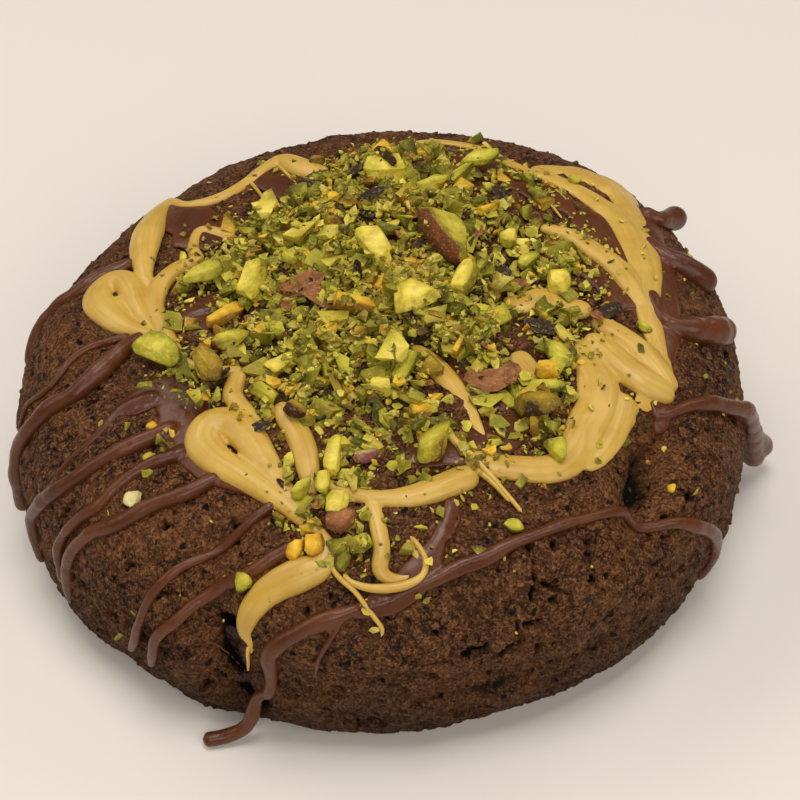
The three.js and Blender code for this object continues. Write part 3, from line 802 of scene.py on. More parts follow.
@dataclass
class BakedCookie:
    """The baked body: crown, shoulder, belly and flat underside, with cracks, pits and crumbs."""

    form: CrustForm
    crust: BakedCrust
    around: int = 560
    crown_step: float = 1.2
    side_step: float = 0.45
    fine_from: float = 28.0
    under_rings: int = 16
    broad: float = 0.9
    grain: float = 0.5
    crack_depth: float = 1.5
    split_depth: float = 2.6
    under_dent: float = 0.5
    cracks: tuple[Route, ...] = (
        ((29.5, -47), (29, -49.5), (30, -51)), ((20.5, -47), (21, -52), (22.5, -57)), ((20, -60), (21, -63),
        (18.5, -66)), ((34.5, -46), (36, -49)), ((24, -54), (27, -55)), ((13, -66), (16, -64)), ((44.5, -45),
        (46, -49)), ((47, -31), (52, -29)), ((-47, -36), (-51, -38)), ((-33, -52), (-30, -54)),
    )
    split: Route = ((-24.4, -61), (-26, -66), (-26.4, -71), (-25.6, -76))
    dent: Route = ((40.6, -30.4), (39.9, -33.6), (39.3, -36.8), (38.9, -38.4))

    def fine_relief(self, points: np.ndarray, u: np.ndarray, v: np.ndarray) -> np.ndarray:
        """Lumps, grains, pits and cracks of the crust, in millimetres."""
        noise, other = Noise(3), Noise(11)
        lumps = 0.7 * noise.soft(points, 13.0) + 0.4 * noise.soft(points, 5.0) + 0.2 * noise.soft(points, 2.2)
        warp = np.stack([other.soft(points + shift, 2.4) for shift in (0.0, 31.0, 67.0)], axis=1)
        near, after, _ = noise.cells(points + warp * 0.9, 1.9)
        grains = self.grain * (np.minimum((after - near) * 1.8, 0.6) + 0.3 * noise.soft(points, 0.8))
        pit_near, _, pick = other.cells(points * [1.0, 1.0, 0.75] + warp * 1.1, 2.4)
        pits = -self.crack_depth * smooth_step(0.1 + 0.2 * pick - pit_near, 0.0, 0.12) * (pick > 0.66)
        splits = np.zeros(len(points))
        wobble = 1.1 * other.soft(points, 2.0)
        for route in self.cracks:
            inside = 0.55 + 0.3 * other.soft(points, 1.2) - distance_to_route(u + wobble, v, route)
            splits = np.minimum(splits, -self.crack_depth * smooth_step(inside, 0.0, 0.5))
        burst = distance_to_route(u + wobble, v + 0.6 * wobble, self.split)
        opened = smooth_step(3.4 + 1.2 * other.soft(points, 1.7) - burst, 0.0, 1.4)
        splits = np.minimum(splits, -self.split_depth * opened)
        side = smooth_step(np.hypot(u, v), 64.0, 71.0)
        layers = -0.7 * side * smooth_step(noise.soft(points * [0.3, 0.3, 1.5], 1.9), 0.05, 0.5)
        return self.broad * lumps + grains + np.minimum(pits, splits) + layers + self.dent_relief(points, u, v)

    def dent_relief(self, points: np.ndarray, u: np.ndarray, v: np.ndarray) -> np.ndarray:
        """The dent at the right, with sloping sides, in millimetres."""
        other = Noise(11)
        apart = distance_to_route(u + 0.5 * other.soft(points, 2.0), v, self.dent)
        pocket = 2.2 * smooth_step(2.6 + 0.8 * other.soft(points, 2.4) - apart, 0.0, 2.4)
        return -pocket - 1.0 * smooth_step(6.0 - apart, 0.0, 5.0)

    def _rings(self) -> np.ndarray:
        """Distances of the rings from the crown: close together where the crust shows."""
        crown = np.arange(self.crown_step, self.fine_from, self.crown_step)
        count = int((self.form.skirt - self.fine_from) / self.side_step)
        return np.concatenate([crown, np.linspace(self.fine_from, self.form.skirt, count)])

    def _angles(self) -> np.ndarray:
        """Directions of the spokes: a little closer together at the front."""
        dense = np.linspace(-math.pi, math.pi, 4001)
        density = 1.0 + 0.3 * np.cos(dense + math.pi / 2)
        total = np.concatenate([[0.0], np.cumsum((density[1:] + density[:-1]) / 2)])
        return np.interp(np.linspace(0, total[-1], self.around, endpoint=False), total, dense)

    def body(self) -> Shape:
        """The closed body with its fine relief and a mark of painted shade for its hollows."""
        rings, angles = self._rings(), self._angles()
        s, angle = np.meshgrid(rings, angles, indexing="ij")
        u, v = (s * np.cos(angle)).ravel(), (s * np.sin(angle)).ravel()
        point, normal = self.form.place(u, v)
        fine = self.fine_relief(point, u, v) * smooth_step(self.form.skirt - s.ravel(), 0.0, SKIN_FADE)
        # Painted shade: how deep each place sits in a recess, for darkening the crust there
        shaded = np.clip(0.6 * self.dent_relief(point, u, v) - fine - 0.25, 0.0, 2.0)
        point = point + normal * fine[:, None]
        point[:, 2] = np.maximum(point[:, 2], 0.0)
        foot = point[-self.around:]
        under = [foot * [k, k, 0] for k in np.linspace(1, 0, self.under_rings + 1)[1:-1]]
        dents = np.vstack(under)
        dents[:, 2] = self.under_dent * smooth_step(Noise(5).soft(dents, 8.0), -0.1, 0.8)
        points = np.vstack([self.form.spot(0.0, 0.0)[0], point, dents, [[0.0, 0.0, 0.0]]])
        painted_hollow_shade = np.concatenate([[0.0], shaded, np.zeros(len(dents) + 1)])
        return Shape(points, ring_faces(len(rings) + len(under), self.around), {"painted_hollow_shade": painted_hollow_shade})

    def build(self) -> bpy.types.Object:
        """Make the body and let it stand for the cookie's node."""
        return settle(self.body().object("baked_cookie"), self.crust, ["cookie"])


def ring_faces(rows: int, around: int) -> Faces:
    """Faces of a closed body of rings between two poles, rings from the top down."""
    column = np.arange(around)
    following = (column + 1) % around
    faces: Faces = [(0, 1 + a, 1 + b) for a, b in zip(column.tolist(), following.tolist())]
    for row in range(rows - 1):
        top, low = 1 + row * around, 1 + (row + 1) * around
        sides = (top + column, low + column, low + following, top + following)
        faces.extend(zip(*(side.tolist() for side in sides)))
    last, pole = 1 + (rows - 1) * around, 1 + rows * around
    faces.extend((last + a, pole, last + b) for a, b in zip(column.tolist(), following.tolist()))
    return faces


# ------------------------------------------------------------------ trees that repeat shapes


class GrowthTrees:
    """Geometry trees for strands along paths and for pieces scattered on places, each made once."""

    @staticmethod
    def _start(name: str, inputs: Mapping[str, str]) -> tuple[Bench, Any]:
        """Start a tree with a geometry input and named inputs, by kind of socket."""
        tree = bpy.data.node_groups.new(name, "GeometryNodeTree")
        for label, kind in {"Geometry": "Geometry", **inputs, "Material": "Material"}.items():
            tree.interface.new_socket(label, in_out="INPUT", socket_type=f"NodeSocket{kind}")
        tree.interface.new_socket("Geometry", in_out="OUTPUT", socket_type="NodeSocketGeometry")
        bench = Bench(tree)
        return bench, bench.add("NodeGroupInput").outputs

    @staticmethod
    def _end(bench: Bench, geometry: bpy.types.NodeSocket, material: bpy.types.NodeSocket) -> bpy.types.NodeTree:
        """End a tree in real geometry with its material."""
        real = bench.add("GeometryNodeRealizeInstances", {0: geometry})
        dressed = bench.add("GeometryNodeSetMaterial", {"Geometry": real.outputs[0], "Material": material})
        bench.add("NodeGroupOutput", {0: dressed.outputs[0]})
        return bench.tree

    @staticmethod
    def _mark(bench: Bench, name: str, kind: str = "FLOAT") -> bpy.types.NodeSocket:
        """Read a mark that is stored on the points."""
        return bench.add("GeometryNodeInputNamedAttribute", {"Name": name}, data_type=kind).outputs[0]

    @classmethod
    @cache
    def strands(cls) -> bpy.types.NodeTree:
        """Round strands along edges, as thick as the edges' thickness mark says."""
        bench, given = cls._start("drawn_strands", {"Sides": "Int", "Thickness": "Float"})
        paths = bench.add("GeometryNodeMeshToCurve", {0: given["Geometry"]})
        thickness = bench.math("MULTIPLY", cls._mark(bench, "thickness"), given["Thickness"])
        half = bench.math("MULTIPLY", thickness, 0.5)
        sized = bench.add("GeometryNodeSetCurveRadius", {"Curve": paths.outputs[0], "Radius": half})
        ring = bench.add("GeometryNodeCurvePrimitiveCircle", {"Resolution": given["Sides"], "Radius": 1.0})
        tube = bench.add("GeometryNodeCurveToMesh", {"Curve": sized.outputs[0], "Profile Curve": ring.outputs[0],
                                                     "Fill Caps": True})
        if "Scale" in tube.inputs:
            bench.feed(tube, {"Scale": bench.add("GeometryNodeInputRadius").outputs[0]})
        return cls._end(bench, tube.outputs[0], given["Material"])

    @classmethod
    @cache
    def scatter(cls) -> bpy.types.NodeTree:
        """Shapes of a collection on points, turned, stretched and chosen by the points' marks."""
        bench, given = cls._start("scattered_pieces", {"Shapes": "Collection", "Size": "Float"})
        points = bench.add("GeometryNodeMeshToPoints", {0: given["Geometry"]})
        rotation = bench.add("FunctionNodeEulerToRotation", {0: cls._mark(bench, "turn", "FLOAT_VECTOR")})
        scale = bench.add("ShaderNodeVectorMath", {0: cls._mark(bench, "stretch", "FLOAT_VECTOR"), 3: given["Size"]},
                          operation="SCALE")
        shapes = bench.add("GeometryNodeCollectionInfo", {"Collection": given["Shapes"],
                                                          "Separate Children": True, "Reset Children": True})
        placed = bench.add("GeometryNodeInstanceOnPoints", {
            "Points": points.outputs[0], "Instance": shapes.outputs[0], "Pick Instance": True,
            "Instance Index": cls._mark(bench, "kind"), "Rotation": rotation.outputs[0], "Scale": scale.outputs[0]})
        return cls._end(bench, placed.outputs[0], given["Material"])

    @staticmethod
    def grow(obj: bpy.types.Object, tree: bpy.types.NodeTree, name: str, finish: Finish,
             inputs: Mapping[str, Any]) -> bpy.types.Object:
        """Run a tree on an object.

        Args:
            obj: The object that holds the paths or places.
            tree: The tree.
            name: Name of the result.
            finish: Finish of the result.
            inputs: Values for the tree's other named inputs.

        Returns:
            A plain object with what the tree made.
        """
        values = {**inputs, "Material": finish.material}
        modifier = obj.modifiers.new("grow", "NODES")
        modifier.node_group = tree
        for item in tree.interface.items_tree:
            if item.in_out == "INPUT" and item.name in values:
                modifier[item.identifier] = values[item.name]
        obj.update_tag()
        bpy.context.view_layer.update()
        return evaluated(obj, name)

    def draw(self, lines: Sequence[Line], lift: float, sides: int, name: str, finish: Finish) -> bpy.types.Object:
        """Draw strands along lines, raised by a share of their width."""
        mesh = bpy.data.meshes.new("paths")
        edges: list[tuple[int, int]] = []
        start = 0
        for line in lines:
            edges.extend((start + i, start + i + 1) for i in range(len(line.point) - 1))
            start += len(line.point)
        points = np.vstack([line.point + line.up * (line.width * lift)[:, None] for line in lines])
        mesh.from_pydata(points.tolist(), edges, [])
        store_mark(mesh, "thickness", np.concatenate([line.width * line.end_taper() for line in lines]))
        return self.grow(in_scene("paths", mesh), self.strands(), name, finish, {"Sides": sides, "Thickness": 1.0})

    def sow(self, name: str, shapes: Sequence[Shape], places: np.ndarray, turns: np.ndarray, sizes: np.ndarray,
            stretch: tuple[Any, Any], random: np.random.Generator, finish: Finish) -> bpy.types.Object:
        """Put a shape, drawn by chance, on each place.

        Args:
            name: Name of the result.
            shapes: The kinds of piece, each about 1 mm in size.
            places: Where the pieces go.
            turns: How each is turned.
            sizes: Size of each.
            stretch: Least and most that a piece is stretched.
            random: Source of the draws.
            finish: Finish of the pieces.

        Returns:
            The pieces as one object.
        """
        kinds = bpy.data.collections.new(f"{name}_kinds")
        for i, shape in enumerate(shapes):
            kinds.objects.link(bpy.data.objects.new(f"{name}_{i:02d}", shape.mesh(f"{name}_{i:02d}")))
        count = len(places)
        marks = {"turn": turns, "stretch": sizes[:, None] * random.uniform(*stretch, (count, 3)),
                 "kind": random.integers(0, len(shapes), count).astype(float)}
        spots = Shape(places, [], marks).object(f"{name}_spots")
        made = self.grow(spots, self.scatter(), name, finish, {"Shapes": kinds, "Size": 1.0})
        for kind in list(kinds.objects):
            bpy.data.objects.remove(kind)
        bpy.data.collections.remove(kinds)
        return made


# ------------------------------------------------------------------ chocolate


@dataclass
class ChocolateDrizzle:
    """Milk chocolate: thin strands over the crust, drips off its edge and smears under the cream."""

    form: CrustForm
    chocolate: SetChocolate
    trees: GrowthTrees
    grain: float = 0.345
    step: float = 0.5
    rise: float = 0.22
    smear_height: float = 0.62
    strands: tuple[Route, ...] = (
        ((-42.6, 11.4, 1.8), (-45.6, 9.4, 2.6), (-49.5, 7, 2.8), (-54.8, 5.6, 2.7), (-60, 4.6, 2.5),
         (-63, 2.6, 2.2), (-65.5, 0.5, 1.7)),
        ((-39, -8.6, 1.3), (-41.1, -9, 1.4), (-45.2, -9.8, 1.3), (-48.5, -11.6, 1.3), (-50.6, -14.4, 1.1),
         (-53, -15.6, 1.0), (-57, -15.2, 1.0), (-59.5, -16.3, 0.9), (-62, -17.5, 0.8)),
        ((-37.2, -8.6, 1.6), (-39.2, -11.2, 2.6), (-42.3, -15.4, 3.0), (-46, -18.7, 2.9), (-51.3, -19.9, 2.8),
         (-57, -20.7, 2.7), (-63, -21.6, 2.7), (-69, -23.4, 2.8), (-74, -25, 2.6)),
        ((-33, -22, 1.9), (-35.1, -22.3, 1.6), (-38.3, -23.6, 1.6), (-40.4, -25.9, 1.5), (-43, -28, 1.4),
         (-46, -29.6, 1.2), (-48.8, -31, 1.1), (-51.5, -32.6, 1.0)),
        ((-29.5, -28, 2.4), (-31.5, -29, 2.5), (-35.7, -30.2, 2.6), (-39.3, -31.3, 2.6), (-42, -32.3, 2.5),
         (-46, -33.1, 2.4), (-51.2, -33.6, 2.4), (-57, -33.6, 2.3), (-62.5, -34, 2.2), (-66, -36.6, 2.0),
         (-68, -39, 1.6)),
        ((-28, -31.8, 2.1), (-29.6, -33, 2.1), (-34.7, -34.7, 2.0), (-38.1, -36.4, 2.0), (-41.7, -38.6, 1.9),
         (-45.8, -39.2, 1.9), (-50.1, -40.2, 1.8), (-53.4, -41.6, 1.8), (-57, -44.4, 1.6), (-58.5, -45.8, 1.4)),
        ((-22.6, -36.8, 1.2), (-24.2, -37.6, 2.0), (-27.1, -39.2, 2.5), (-32.2, -40.3, 2.4), (-37, -41.6, 2.4),
         (-41.5, -42, 2.3), (-47, -42.6, 2.2), (-52.1, -44.3, 2.1), (-56.5, -47.2, 1.9), (-59.5, -49.6, 1.5)),
        ((-14, -41.6, 1.2), (-15.6, -42.7, 1.5), (-18.6, -44.8, 1.6), (-22.2, -46.5, 1.6), (-25, -48.2, 1.5),
         (-29, -49.8, 1.6), (-32.8, -51.7, 1.7), (-35.5, -53.9, 1.6), (-38, -56.3, 1.6), (-41, -58.2, 1.6),
         (-45.6, -61, 1.3)),
        ((-11.5, -48.6, 1.8), (-12.9, -49.4, 2.0), (-17.2, -51.4, 2.1), (-20.8, -52.7, 2.2),
         (-24.3, -53.7, 2.1), (-28.4, -55.6, 2.1), (-33.1, -57.7, 1.9), (-37.2, -60, 1.8), (-42, -64.1, 1.4)),
        ((-3, -58.2, 1.4), (-1.9, -57.9, 1.3), (0.8, -57.2, 1.5), (3, -56, 1.5), (7.3, -53.9, 1.6),
         (12.8, -51.4, 1.8), (20.1, -48.1, 1.8), (25.3, -45.8, 1.7), (30, -44, 1.6), (34.6, -42.4, 1.8),
         (37.6, -42.6, 1.7), (40.4, -43.2, 1.7), (46, -40.9, 2.1), (53.9, -39.2, 2.3), (61, -38.5, 2.3),
         (65.5, -38.9, 2.2), (68.9, -41, 1.8), (70.5, -44, 1.2)),
        ((5.5, -55.8, 0.9), (7.3, -55, 1.0), (12.8, -52.5, 1.1), (19, -49.3, 0.9)),
        ((-5.5, -59.2, 1.1), (-10.1, -60.6, 1.2), (-14.2, -62.2, 1.1)),
        ((-26.6, -4, 1.5), (-29.7, -4.7, 1.7), (-32, -6.8, 1.6), (-33, -8.8, 1.2)),
    )
    fingers: tuple[Route, ...] = (
        ((43, 17.8, 2.6), (44.6, 15.6, 3.0), (46.6, 14.2, 3.4), (49, 13.4, 4.2), (52, 12.6, 4.6),
         (54.6, 12.8, 4.8), (56.4, 13.6, 4.7)),
        ((43, 3, 2.2), (43.8, -1.2, 2.6), (45, -4, 3.0), (47.4, -4.6, 3.6), (50.4, -3.8, 4.2), (53.6, -2, 4.7),
         (56.4, 0, 4.9), (58.2, 1.6, 4.7)),
    )
    falling: tuple[tuple[Route, Route], ...] = (
        (((-3.4, -57.8, 1.6), (-5.6, -58.4, 2.0), (-9, -59.2, 2.3), (-12.8, -60.8, 2.5), (-15.6, -62.2, 2.6),
         (-17.6, -64, 2.5), (-18.2, -66.6, 2.2), (-19.4, -70, 1.9), (-20.4, -72, 2.0)),
         ((-18.4, -57.4, 8.2, 2.1), (-19.6, -58.2, 4.4, 2.1), (-21.2, -58.6, 2.2, 2.2),
         (-23.4, -58.9, 1.3, 2.4), (-25.4, -59.2, 1.2, 2.3), (-27, -59.5, 1.2, 2.5))),
        (((41, -24.6, 1.4), (44.3, -23.4, 1.9), (47.7, -21.2, 2.2), (51.1, -19.4, 2.5), (54, -18, 2.6)),
         ((55.8, -14.2, 25.2, 2.7), (57.2, -12.2, 22, 2.9), (58.6, -9.4, 17.4, 3.1), (59.9, -7, 12.4, 3.4),
         (61, -4.8, 7.6, 4.0), (61.8, -3.2, 4, 4.5), (62, -2.6, 2.2, 4.3))),
        (((54, -18, 1.6), (55.4, -17.6, 1.7)), ((58.8, -9.8, 17.8, 2.0), (61.2, -5.2, 10.6, 2.6),
         (63, -2.4, 6, 3.6), (63.6, -1.4, 3.6, 3.5))),
        (((43, 28, 2.4), (45, 27.4, 2.8), (47, 27.4, 3.2)), ((48.4, 29.4, 29, 3.8), (50, 31.6, 27.8, 4.6),
         (50.8, 32.8, 26.6, 4.8))),
    )
    smears: tuple[Route, ...] = (
        ((-33, -18, 4), (-30.5, -20.5, 6.5), (-28.5, -24.5, 8), (-29, -29.5, 7), (-25.5, -34.5, 5),
         (-20, -38.4, 3.6), (-12, -43, 2)),
        ((-40, -23.6, 2.4), (-36.2, -22.4, 5), (-33, -20.6, 7), (-30, -22, 8), (-28.6, -27, 8),
         (-28.4, -31.4, 7)),
        ((9.4, -42, 2), (8.6, -46, 2.4), (6.4, -51, 3.6), (3, -55.4, 4.6), (-2, -58, 3.4), (-5.6, -58.6, 2.2)),
        ((42, 30, 2.6), (44.2, 24, 4), (45.4, 16, 4.6), (45.9, 6, 4.6), (45.6, -5, 4), (44, -14, 3)),
        ((-24, 39, 4), (-21, 34, 8), (-15, 29, 9), (-10, 25, 6)),
        ((-40, 32, 4), (-37, 26, 8), (-33, 20, 11), (-29, 13, 8)),
        ((6, 40, 3), (12, 37, 6), (19, 32, 7), (26, 27, 6), (32, 22, 6), (37, 15, 6), (40, 5, 5), (39, -3, 4)),
        ((28, 12, 3), (33, 7, 5), (36, 2, 5), (37, -4, 4)),
        ((41, -21, 3), (43, -24, 4), (42, -27, 2)),
        ((-2, -12, 5), (10, -20, 7), (20, -26, 6), (14, -33, 6), (2, -36, 5)),
        ((-24, 0, 5), (-30, -5, 5), (-20, -10, 6), (-8, 2, 7), (4, 14, 8), (14, 22, 8)),
    )
    threads: tuple[Route, ...] = (
        ((-6.2, -59.6, 1.0), (-8, -62, 0.9), (-9.9, -64.8, 0.8), (-11, -68.1, 0.7), (-11.2, -71, 0.5),
         (-11.3, -75, 0.35)),
        ((-31, -60, 0.5), (-28, -65, 0.5), (-25, -70, 0.4), (-22.5, -74, 0.4)),
        ((-33, -64, 0.4), (-29, -69, 0.4), (-24, -75, 0.3)),
        ((9, -40, 0.6), (10.5, -45, 0.5), (9, -49, 0.6)),
    )

    def _wavering(self, line: Line, seed: int) -> Line:
        """The same line with the small swells of a poured strand."""
        noise = Noise(seed)
        swell = 1.0 + 0.13 * noise.soft(line.point, 3.2) + 0.08 * noise.soft(line.point, 1.3)
        stray = line.across * (0.3 * noise.soft(line.point + 50.0, 4.0))[:, None]
        return Line(line.point + stray, line.up, line.width * swell)

    def build(self) -> bpy.types.Object:
        """Melt strands, drips, threads and smears into one piece."""
        lines = [laid(self.form, route, self.step, self.rise) for route in self.strands]
        lines += [laid(self.form, route, self.step, 0.1) for route in self.fingers]
        lines += [laid(self.form, route, self.step, self.rise, free) for route, free in self.falling]
        waved = [self._wavering(line, 20 + i) for i, line in enumerate(lines)]
        thin = [laid(self.form, route, self.step, 0.35) for route in self.threads]
        tubes = self.trees.draw(waved + thin, 0.0, 16, "tubes", self.chocolate)
        sheets = joined([self._smear(route, 40 + i) for i, route in enumerate(self.smears)]).object("sheets")
        whole = bmesh.new()
        whole.from_mesh(tubes.data)
        whole.from_mesh(sheets.data)
        whole.to_mesh(tubes.data)
        whole.free()
        bpy.data.objects.remove(sheets)
        return settle(fused(tubes, "chocolate_drizzle", self.grain, 3), self.chocolate)

    def _smear(self, route: Route, seed: int) -> Shape:
        """A broad thin smear with an uneven edge."""
        line = laid(self.form, route, 0.8).swelled(Noise(seed), 0.3, 4.0)
        return swept(replace(line, point=line.point + line.up * 0.05), strip(self.smear_height), 20)


# ------------------------------------------------------------------ cream


@dataclass
class PistachioCream:
    """Pistachio cream: one looping ribbon, thick in its folds and drawn out to threads."""

    form: CrustForm
    cream: SoftCream
    trees: GrowthTrees
    grain: float = 0.3
    height: float = 0.46
    resting: float = 0.37
    spread: float = 0.62
    sunk: float = 0.45
    film_height: float = 0.3
    flat: tuple[int, ...] = (10, 11, 14, 15, 17, 18, 19, 20, 21, 22)
    strokes: tuple[Route, ...] = (
        ((-9, 30, 2.6), (-12, 32.6, 4.4), (-15.5, 36, 4.8), (-18.5, 39.2, 4.2), (-21, 38.6, 3.2),
         (-24.5, 33.8, 2.8), (-28, 30, 2.6), (-32.4, 27.8, 2.5), (-36.6, 28.4, 2.3), (-39.8, 33, 2.0)),
        ((-39.8, 35, 1.4), (-41, 29.5, 3.4), (-41.7, 24, 5), (-41.8, 17.5, 5.8), (-41.2, 11.5, 4.6),
         (-39.8, 6, 2.6), (-38, 2.8, 1.6)),
        ((-25.2, 14.8, 2), (-28.8, 16.8, 2.4), (-32.4, 18, 2.2), (-33, 13, 2.2), (-32, 9.4, 2.6),
         (-35, 6.8, 3.2), (-36.8, 2.8, 3.4), (-36.6, -2.2, 3.2), (-34.4, -6.8, 2.4), (-31.8, -11.6, 1.8),
         (-29.4, -15.2, 1.4), (-25.5, -17.4, 1.6), (-21.8, -18, 2.4), (-22, -22.6, 3.2), (-20, -26.2, 3),
         (-17.6, -30.4, 2.2)),
        ((-35, -9, 1.8), (-38, -8, 2.8), (-41.2, -6, 4), (-44, -3, 5), (-46.4, 0.4, 5.4), (-47.2, 3.6, 5.2),
         (-46, 6.2, 4.6), (-43.6, 5.8, 4.6), (-41.4, 2.6, 4.4), (-39.4, -2, 3.6), (-37.4, -5.4, 2.6),
         (-35.2, -9, 1.8)),
        ((-8.6, -47.6, 1.4), (-11.4, -45.2, 2.2), (-15, -41.7, 3.2), (-19.9, -37.6, 4.2), (-23.4, -34.8, 5.2),
         (-25.6, -31.6, 5.8), (-25, -28.6, 5.6), (-22.2, -28.2, 5.4), (-19.2, -31.2, 5), (-16.8, -35.4, 4),
         (-14.4, -39.8, 3), (-11.4, -44.2, 2)),
        ((-9.4, -46.4, 1.4), (-8.2, -49.4, 2.6), (-9, -52, 4), (-11.6, -53, 4.8), (-14.8, -54.1, 4.6),
         (-17.6, -55.7, 4), (-19.8, -58, 3.2), (-20.9, -60.4, 2.2), (-20.5, -62.2, 1.2), (-21, -64.4, 0.6)),
        ((-15.4, -24.4, 2.4), (-14.2, -27.2, 3.6), (-12.2, -31.4, 4.2), (-11, -36, 3.8), (-10.6, -40, 2.4),
         (-10.8, -44, 1.8)),
        ((-10.8, -38.6, 2), (-6, -41, 2.2), (-1.4, -42.4, 2.6), (3, -42.4, 3.4), (7, -41.2, 4), (11, -39.4, 4),
         (13.4, -38.6, 3.2)),
        ((-2.2, -42.4, 2), (-1.2, -46, 2.5), (-0.5, -50, 2.6), (-0.7, -53, 2.4), (0.8, -54.3, 1.9),
         (2.8, -54.2, 1.6), (4.5, -52.8, 1.4), (4.2, -50.6, 1.3), (2.8, -48.6, 1.0)),
        ((3, -13.6, 2.8), (4.6, -15.2, 4), (7.7, -18.6, 4), (11, -23.9, 3), (12.4, -27, 2.2),
         (13.6, -30.5, 1.8), (15.4, -34, 1.2), (17, -37, 1)),
        ((11.2, -34.4, 2.4), (12.6, -35.8, 3.6), (15.4, -36.9, 4.2), (19, -37.3, 4.4), (23, -37.3, 4.6),
         (26, -36, 5), (28.2, -33, 5.6), (29.9, -29, 6.2), (31.8, -25, 6.6), (32.4, -20.6, 6.4),
         (31.4, -15.6, 5), (29.2, -11, 3.2)),
        ((28.4, -36.2, 2.4), (31, -34.4, 3.4), (33.6, -30.4, 4.2), (35.6, -25.4, 4.6), (36.4, -21.4, 3.6)),
        ((32.6, -6, 2.4), (35, -7.6, 3.6), (37.4, -9.6, 4.4), (40.4, -12.8, 4.6), (43, -16.4, 4.2),
         (45, -19.6, 3)),
        ((31.6, -9.6, 2.6), (34, -12.8, 4.4), (36.8, -16.4, 5.4), (40, -19, 5.4), (43, -20, 4.4),
         (45.2, -19.8, 3)),
        ((0.6, 35, 1.4), (1, 38.6, 1.7), (3.2, 42.2, 1.9), (7.6, 43.8, 2.0), (12, 43, 2.1), (16, 41, 2.3),
         (19.4, 37, 2.7), (23, 33.6, 2.8), (26, 33.2, 3.2), (31, 30, 4), (35.2, 26.2, 5), (39, 22, 6.2),
         (41.4, 16, 7), (42.6, 8.8, 6.2), (42.4, 2.4, 5), (42.6, -5.2, 4.2), (43.6, -11.6, 3),
         (44.6, -17.4, 2)),
        ((23.6, 34.6, 2), (26, 35.2, 3.2), (29.4, 35.8, 4.2), (34.8, 36.4, 5.4), (39.4, 37.2, 4.8),
         (41.6, 33, 4), (41, 27, 4)),
        ((24.6, 17.4, 1.8), (27, 16.4, 2.6), (30.2, 15.2, 3.2), (33.4, 12, 4), (36, 9.6, 4.4),
         (38.2, 6.8, 4.4), (40, 3, 4), (41.8, -2, 3)),
        ((18.6, -1.6, 3), (22, -3, 4), (25, -1, 4.4), (29, -3.4, 4.6), (33.2, -3.6, 4)),
        ((20, -14, 3), (21.6, -18, 4), (24, -22, 4), (23, -27, 3.4)),
        ((29.6, 34.3, 3.2), (34.2, 34.8, 4.6), (38.3, 33.6, 5), (40.4, 28.6, 5.2), (42, 21.2, 5)),
        ((-39.4, -5, 3), (-41.6, -3.4, 5), (-43.6, -0.6, 6), (-44.6, 1.4, 5)),
        ((-20.6, -33, 1.4), (-19, -35.4, 2.2), (-16.8, -38, 2.4), (-14.4, -40.8, 2)),
        ((29, 36.6, 3.6), (33.4, 37, 5), (36.8, 34.4, 5.4), (38.4, 30.4, 4.6)),
    )
    films: tuple[Route, ...] = (
        ((30, -34.6, 3), (33, -31, 4), (35.4, -27, 4.4), (37.6, -22.4, 4)), ((-25, 15.6, 5), (-32, 19.6, 4.6),
        (-33, 26, 4)), ((38, -21.8, 5), (42, -22.6, 4)),
    )
    threads: tuple[Route, ...] = (
        ((-7.6, -50.6, 0.8), (-7.3, -52.4, 0.8), (-6.2, -54, 0.8), (-4.2, -55.8, 0.75), (-2.8, -57.6, 0.7),
         (-1.4, -59.4, 0.7), (-0.4, -60.9, 0.6), (-0.6, -62, 0.5)),
        ((9, -32, 1.2), (10.5, -34.1, 1.2), (14, -38, 1.0), (16.5, -41.1, 0.8), (19.3, -44.5, 0.6)),
        ((12, -37.4, 0.9), (15.2, -40.2, 0.8), (17.6, -43, 0.5)),
        ((-5.8, -53.4, 0.7), (-4.6, -54.6, 0.9), (-2.2, -55.4, 1.2), (0.6, -55.5, 1.4), (3.3, -55, 1.3),
         (5.2, -53.8, 1.0), (5.6, -51.9, 0.9), (4.6, -49.9, 0.8), (3.4, -48.4, 0.6)),
        ((-20.6, -62.4, 0.7), (-21.2, -63.6, 0.6), (-22, -65.8, 0.5), (-23.4, -68.2, 0.3)),
        ((-24.6, 33, 0.7), (-22, 27, 0.6), (-20.6, 23, 0.4)),
        ((-19.8, 38, 0.7), (-16.4, 31, 0.6), (-14.4, 25, 0.4)),
        ((22, 31.4, 0.6), (26, 25, 0.5), (28.6, 20, 0.4)),
        ((25.6, 31.6, 0.6), (29.4, 25.6, 0.5), (31.4, 21, 0.4)),
        ((20, 36, 0.6), (23, 30, 0.6), (25, 22, 0.4)),
    )

    def rises(self) -> tuple[tuple[Route, float], ...]:
        """Each stroke with how high it stands, as a share of its width."""
        return tuple((route, self.resting * share) for route, share in zip(self.strokes, self._shares()))

    def _shares(self) -> list[float]:
        """Share of the full height that each stroke has."""
        return [self.spread if i in self.flat else 1.0 for i in range(len(self.strokes))]

    def _ribbon(self, line: Line, seed: int, height: float) -> Shape:
        """One stroke: domed, a little ridged along its flow, with a swelling edge.

        Args:
            line: Where the stroke runs.
            seed: Seed of its unevenness.
            height: Its height as a share of its width.

        Returns:
            The stroke as a closed shape.
        """
        noise = Noise(seed)
        ridge = 0.035 + 0.05 * noise.soft(line.point, 8.0)
        phase = 3.0 * noise.soft(line.point, 9.0)

        def outline(width: np.ndarray, turn: np.ndarray) -> tuple[np.ndarray, np.ndarray]:
            """Offsets across and up: full over the crust, sunk a little into it."""
            side, rise = np.cos(turn), np.sin(turn)
            crest = height * width * (1.0 - 0.035 * width) * np.abs(rise) ** 0.8
            waves = ridge[:, None] * width * np.cos(7.0 * side + phase[:, None])
            combed = waves * np.clip(width / 3 - 0.6, 0, 1) * rise
            return width * 0.5 * side, np.where(rise > 0, crest + 0.35 * combed, -self.sunk * np.abs(rise))

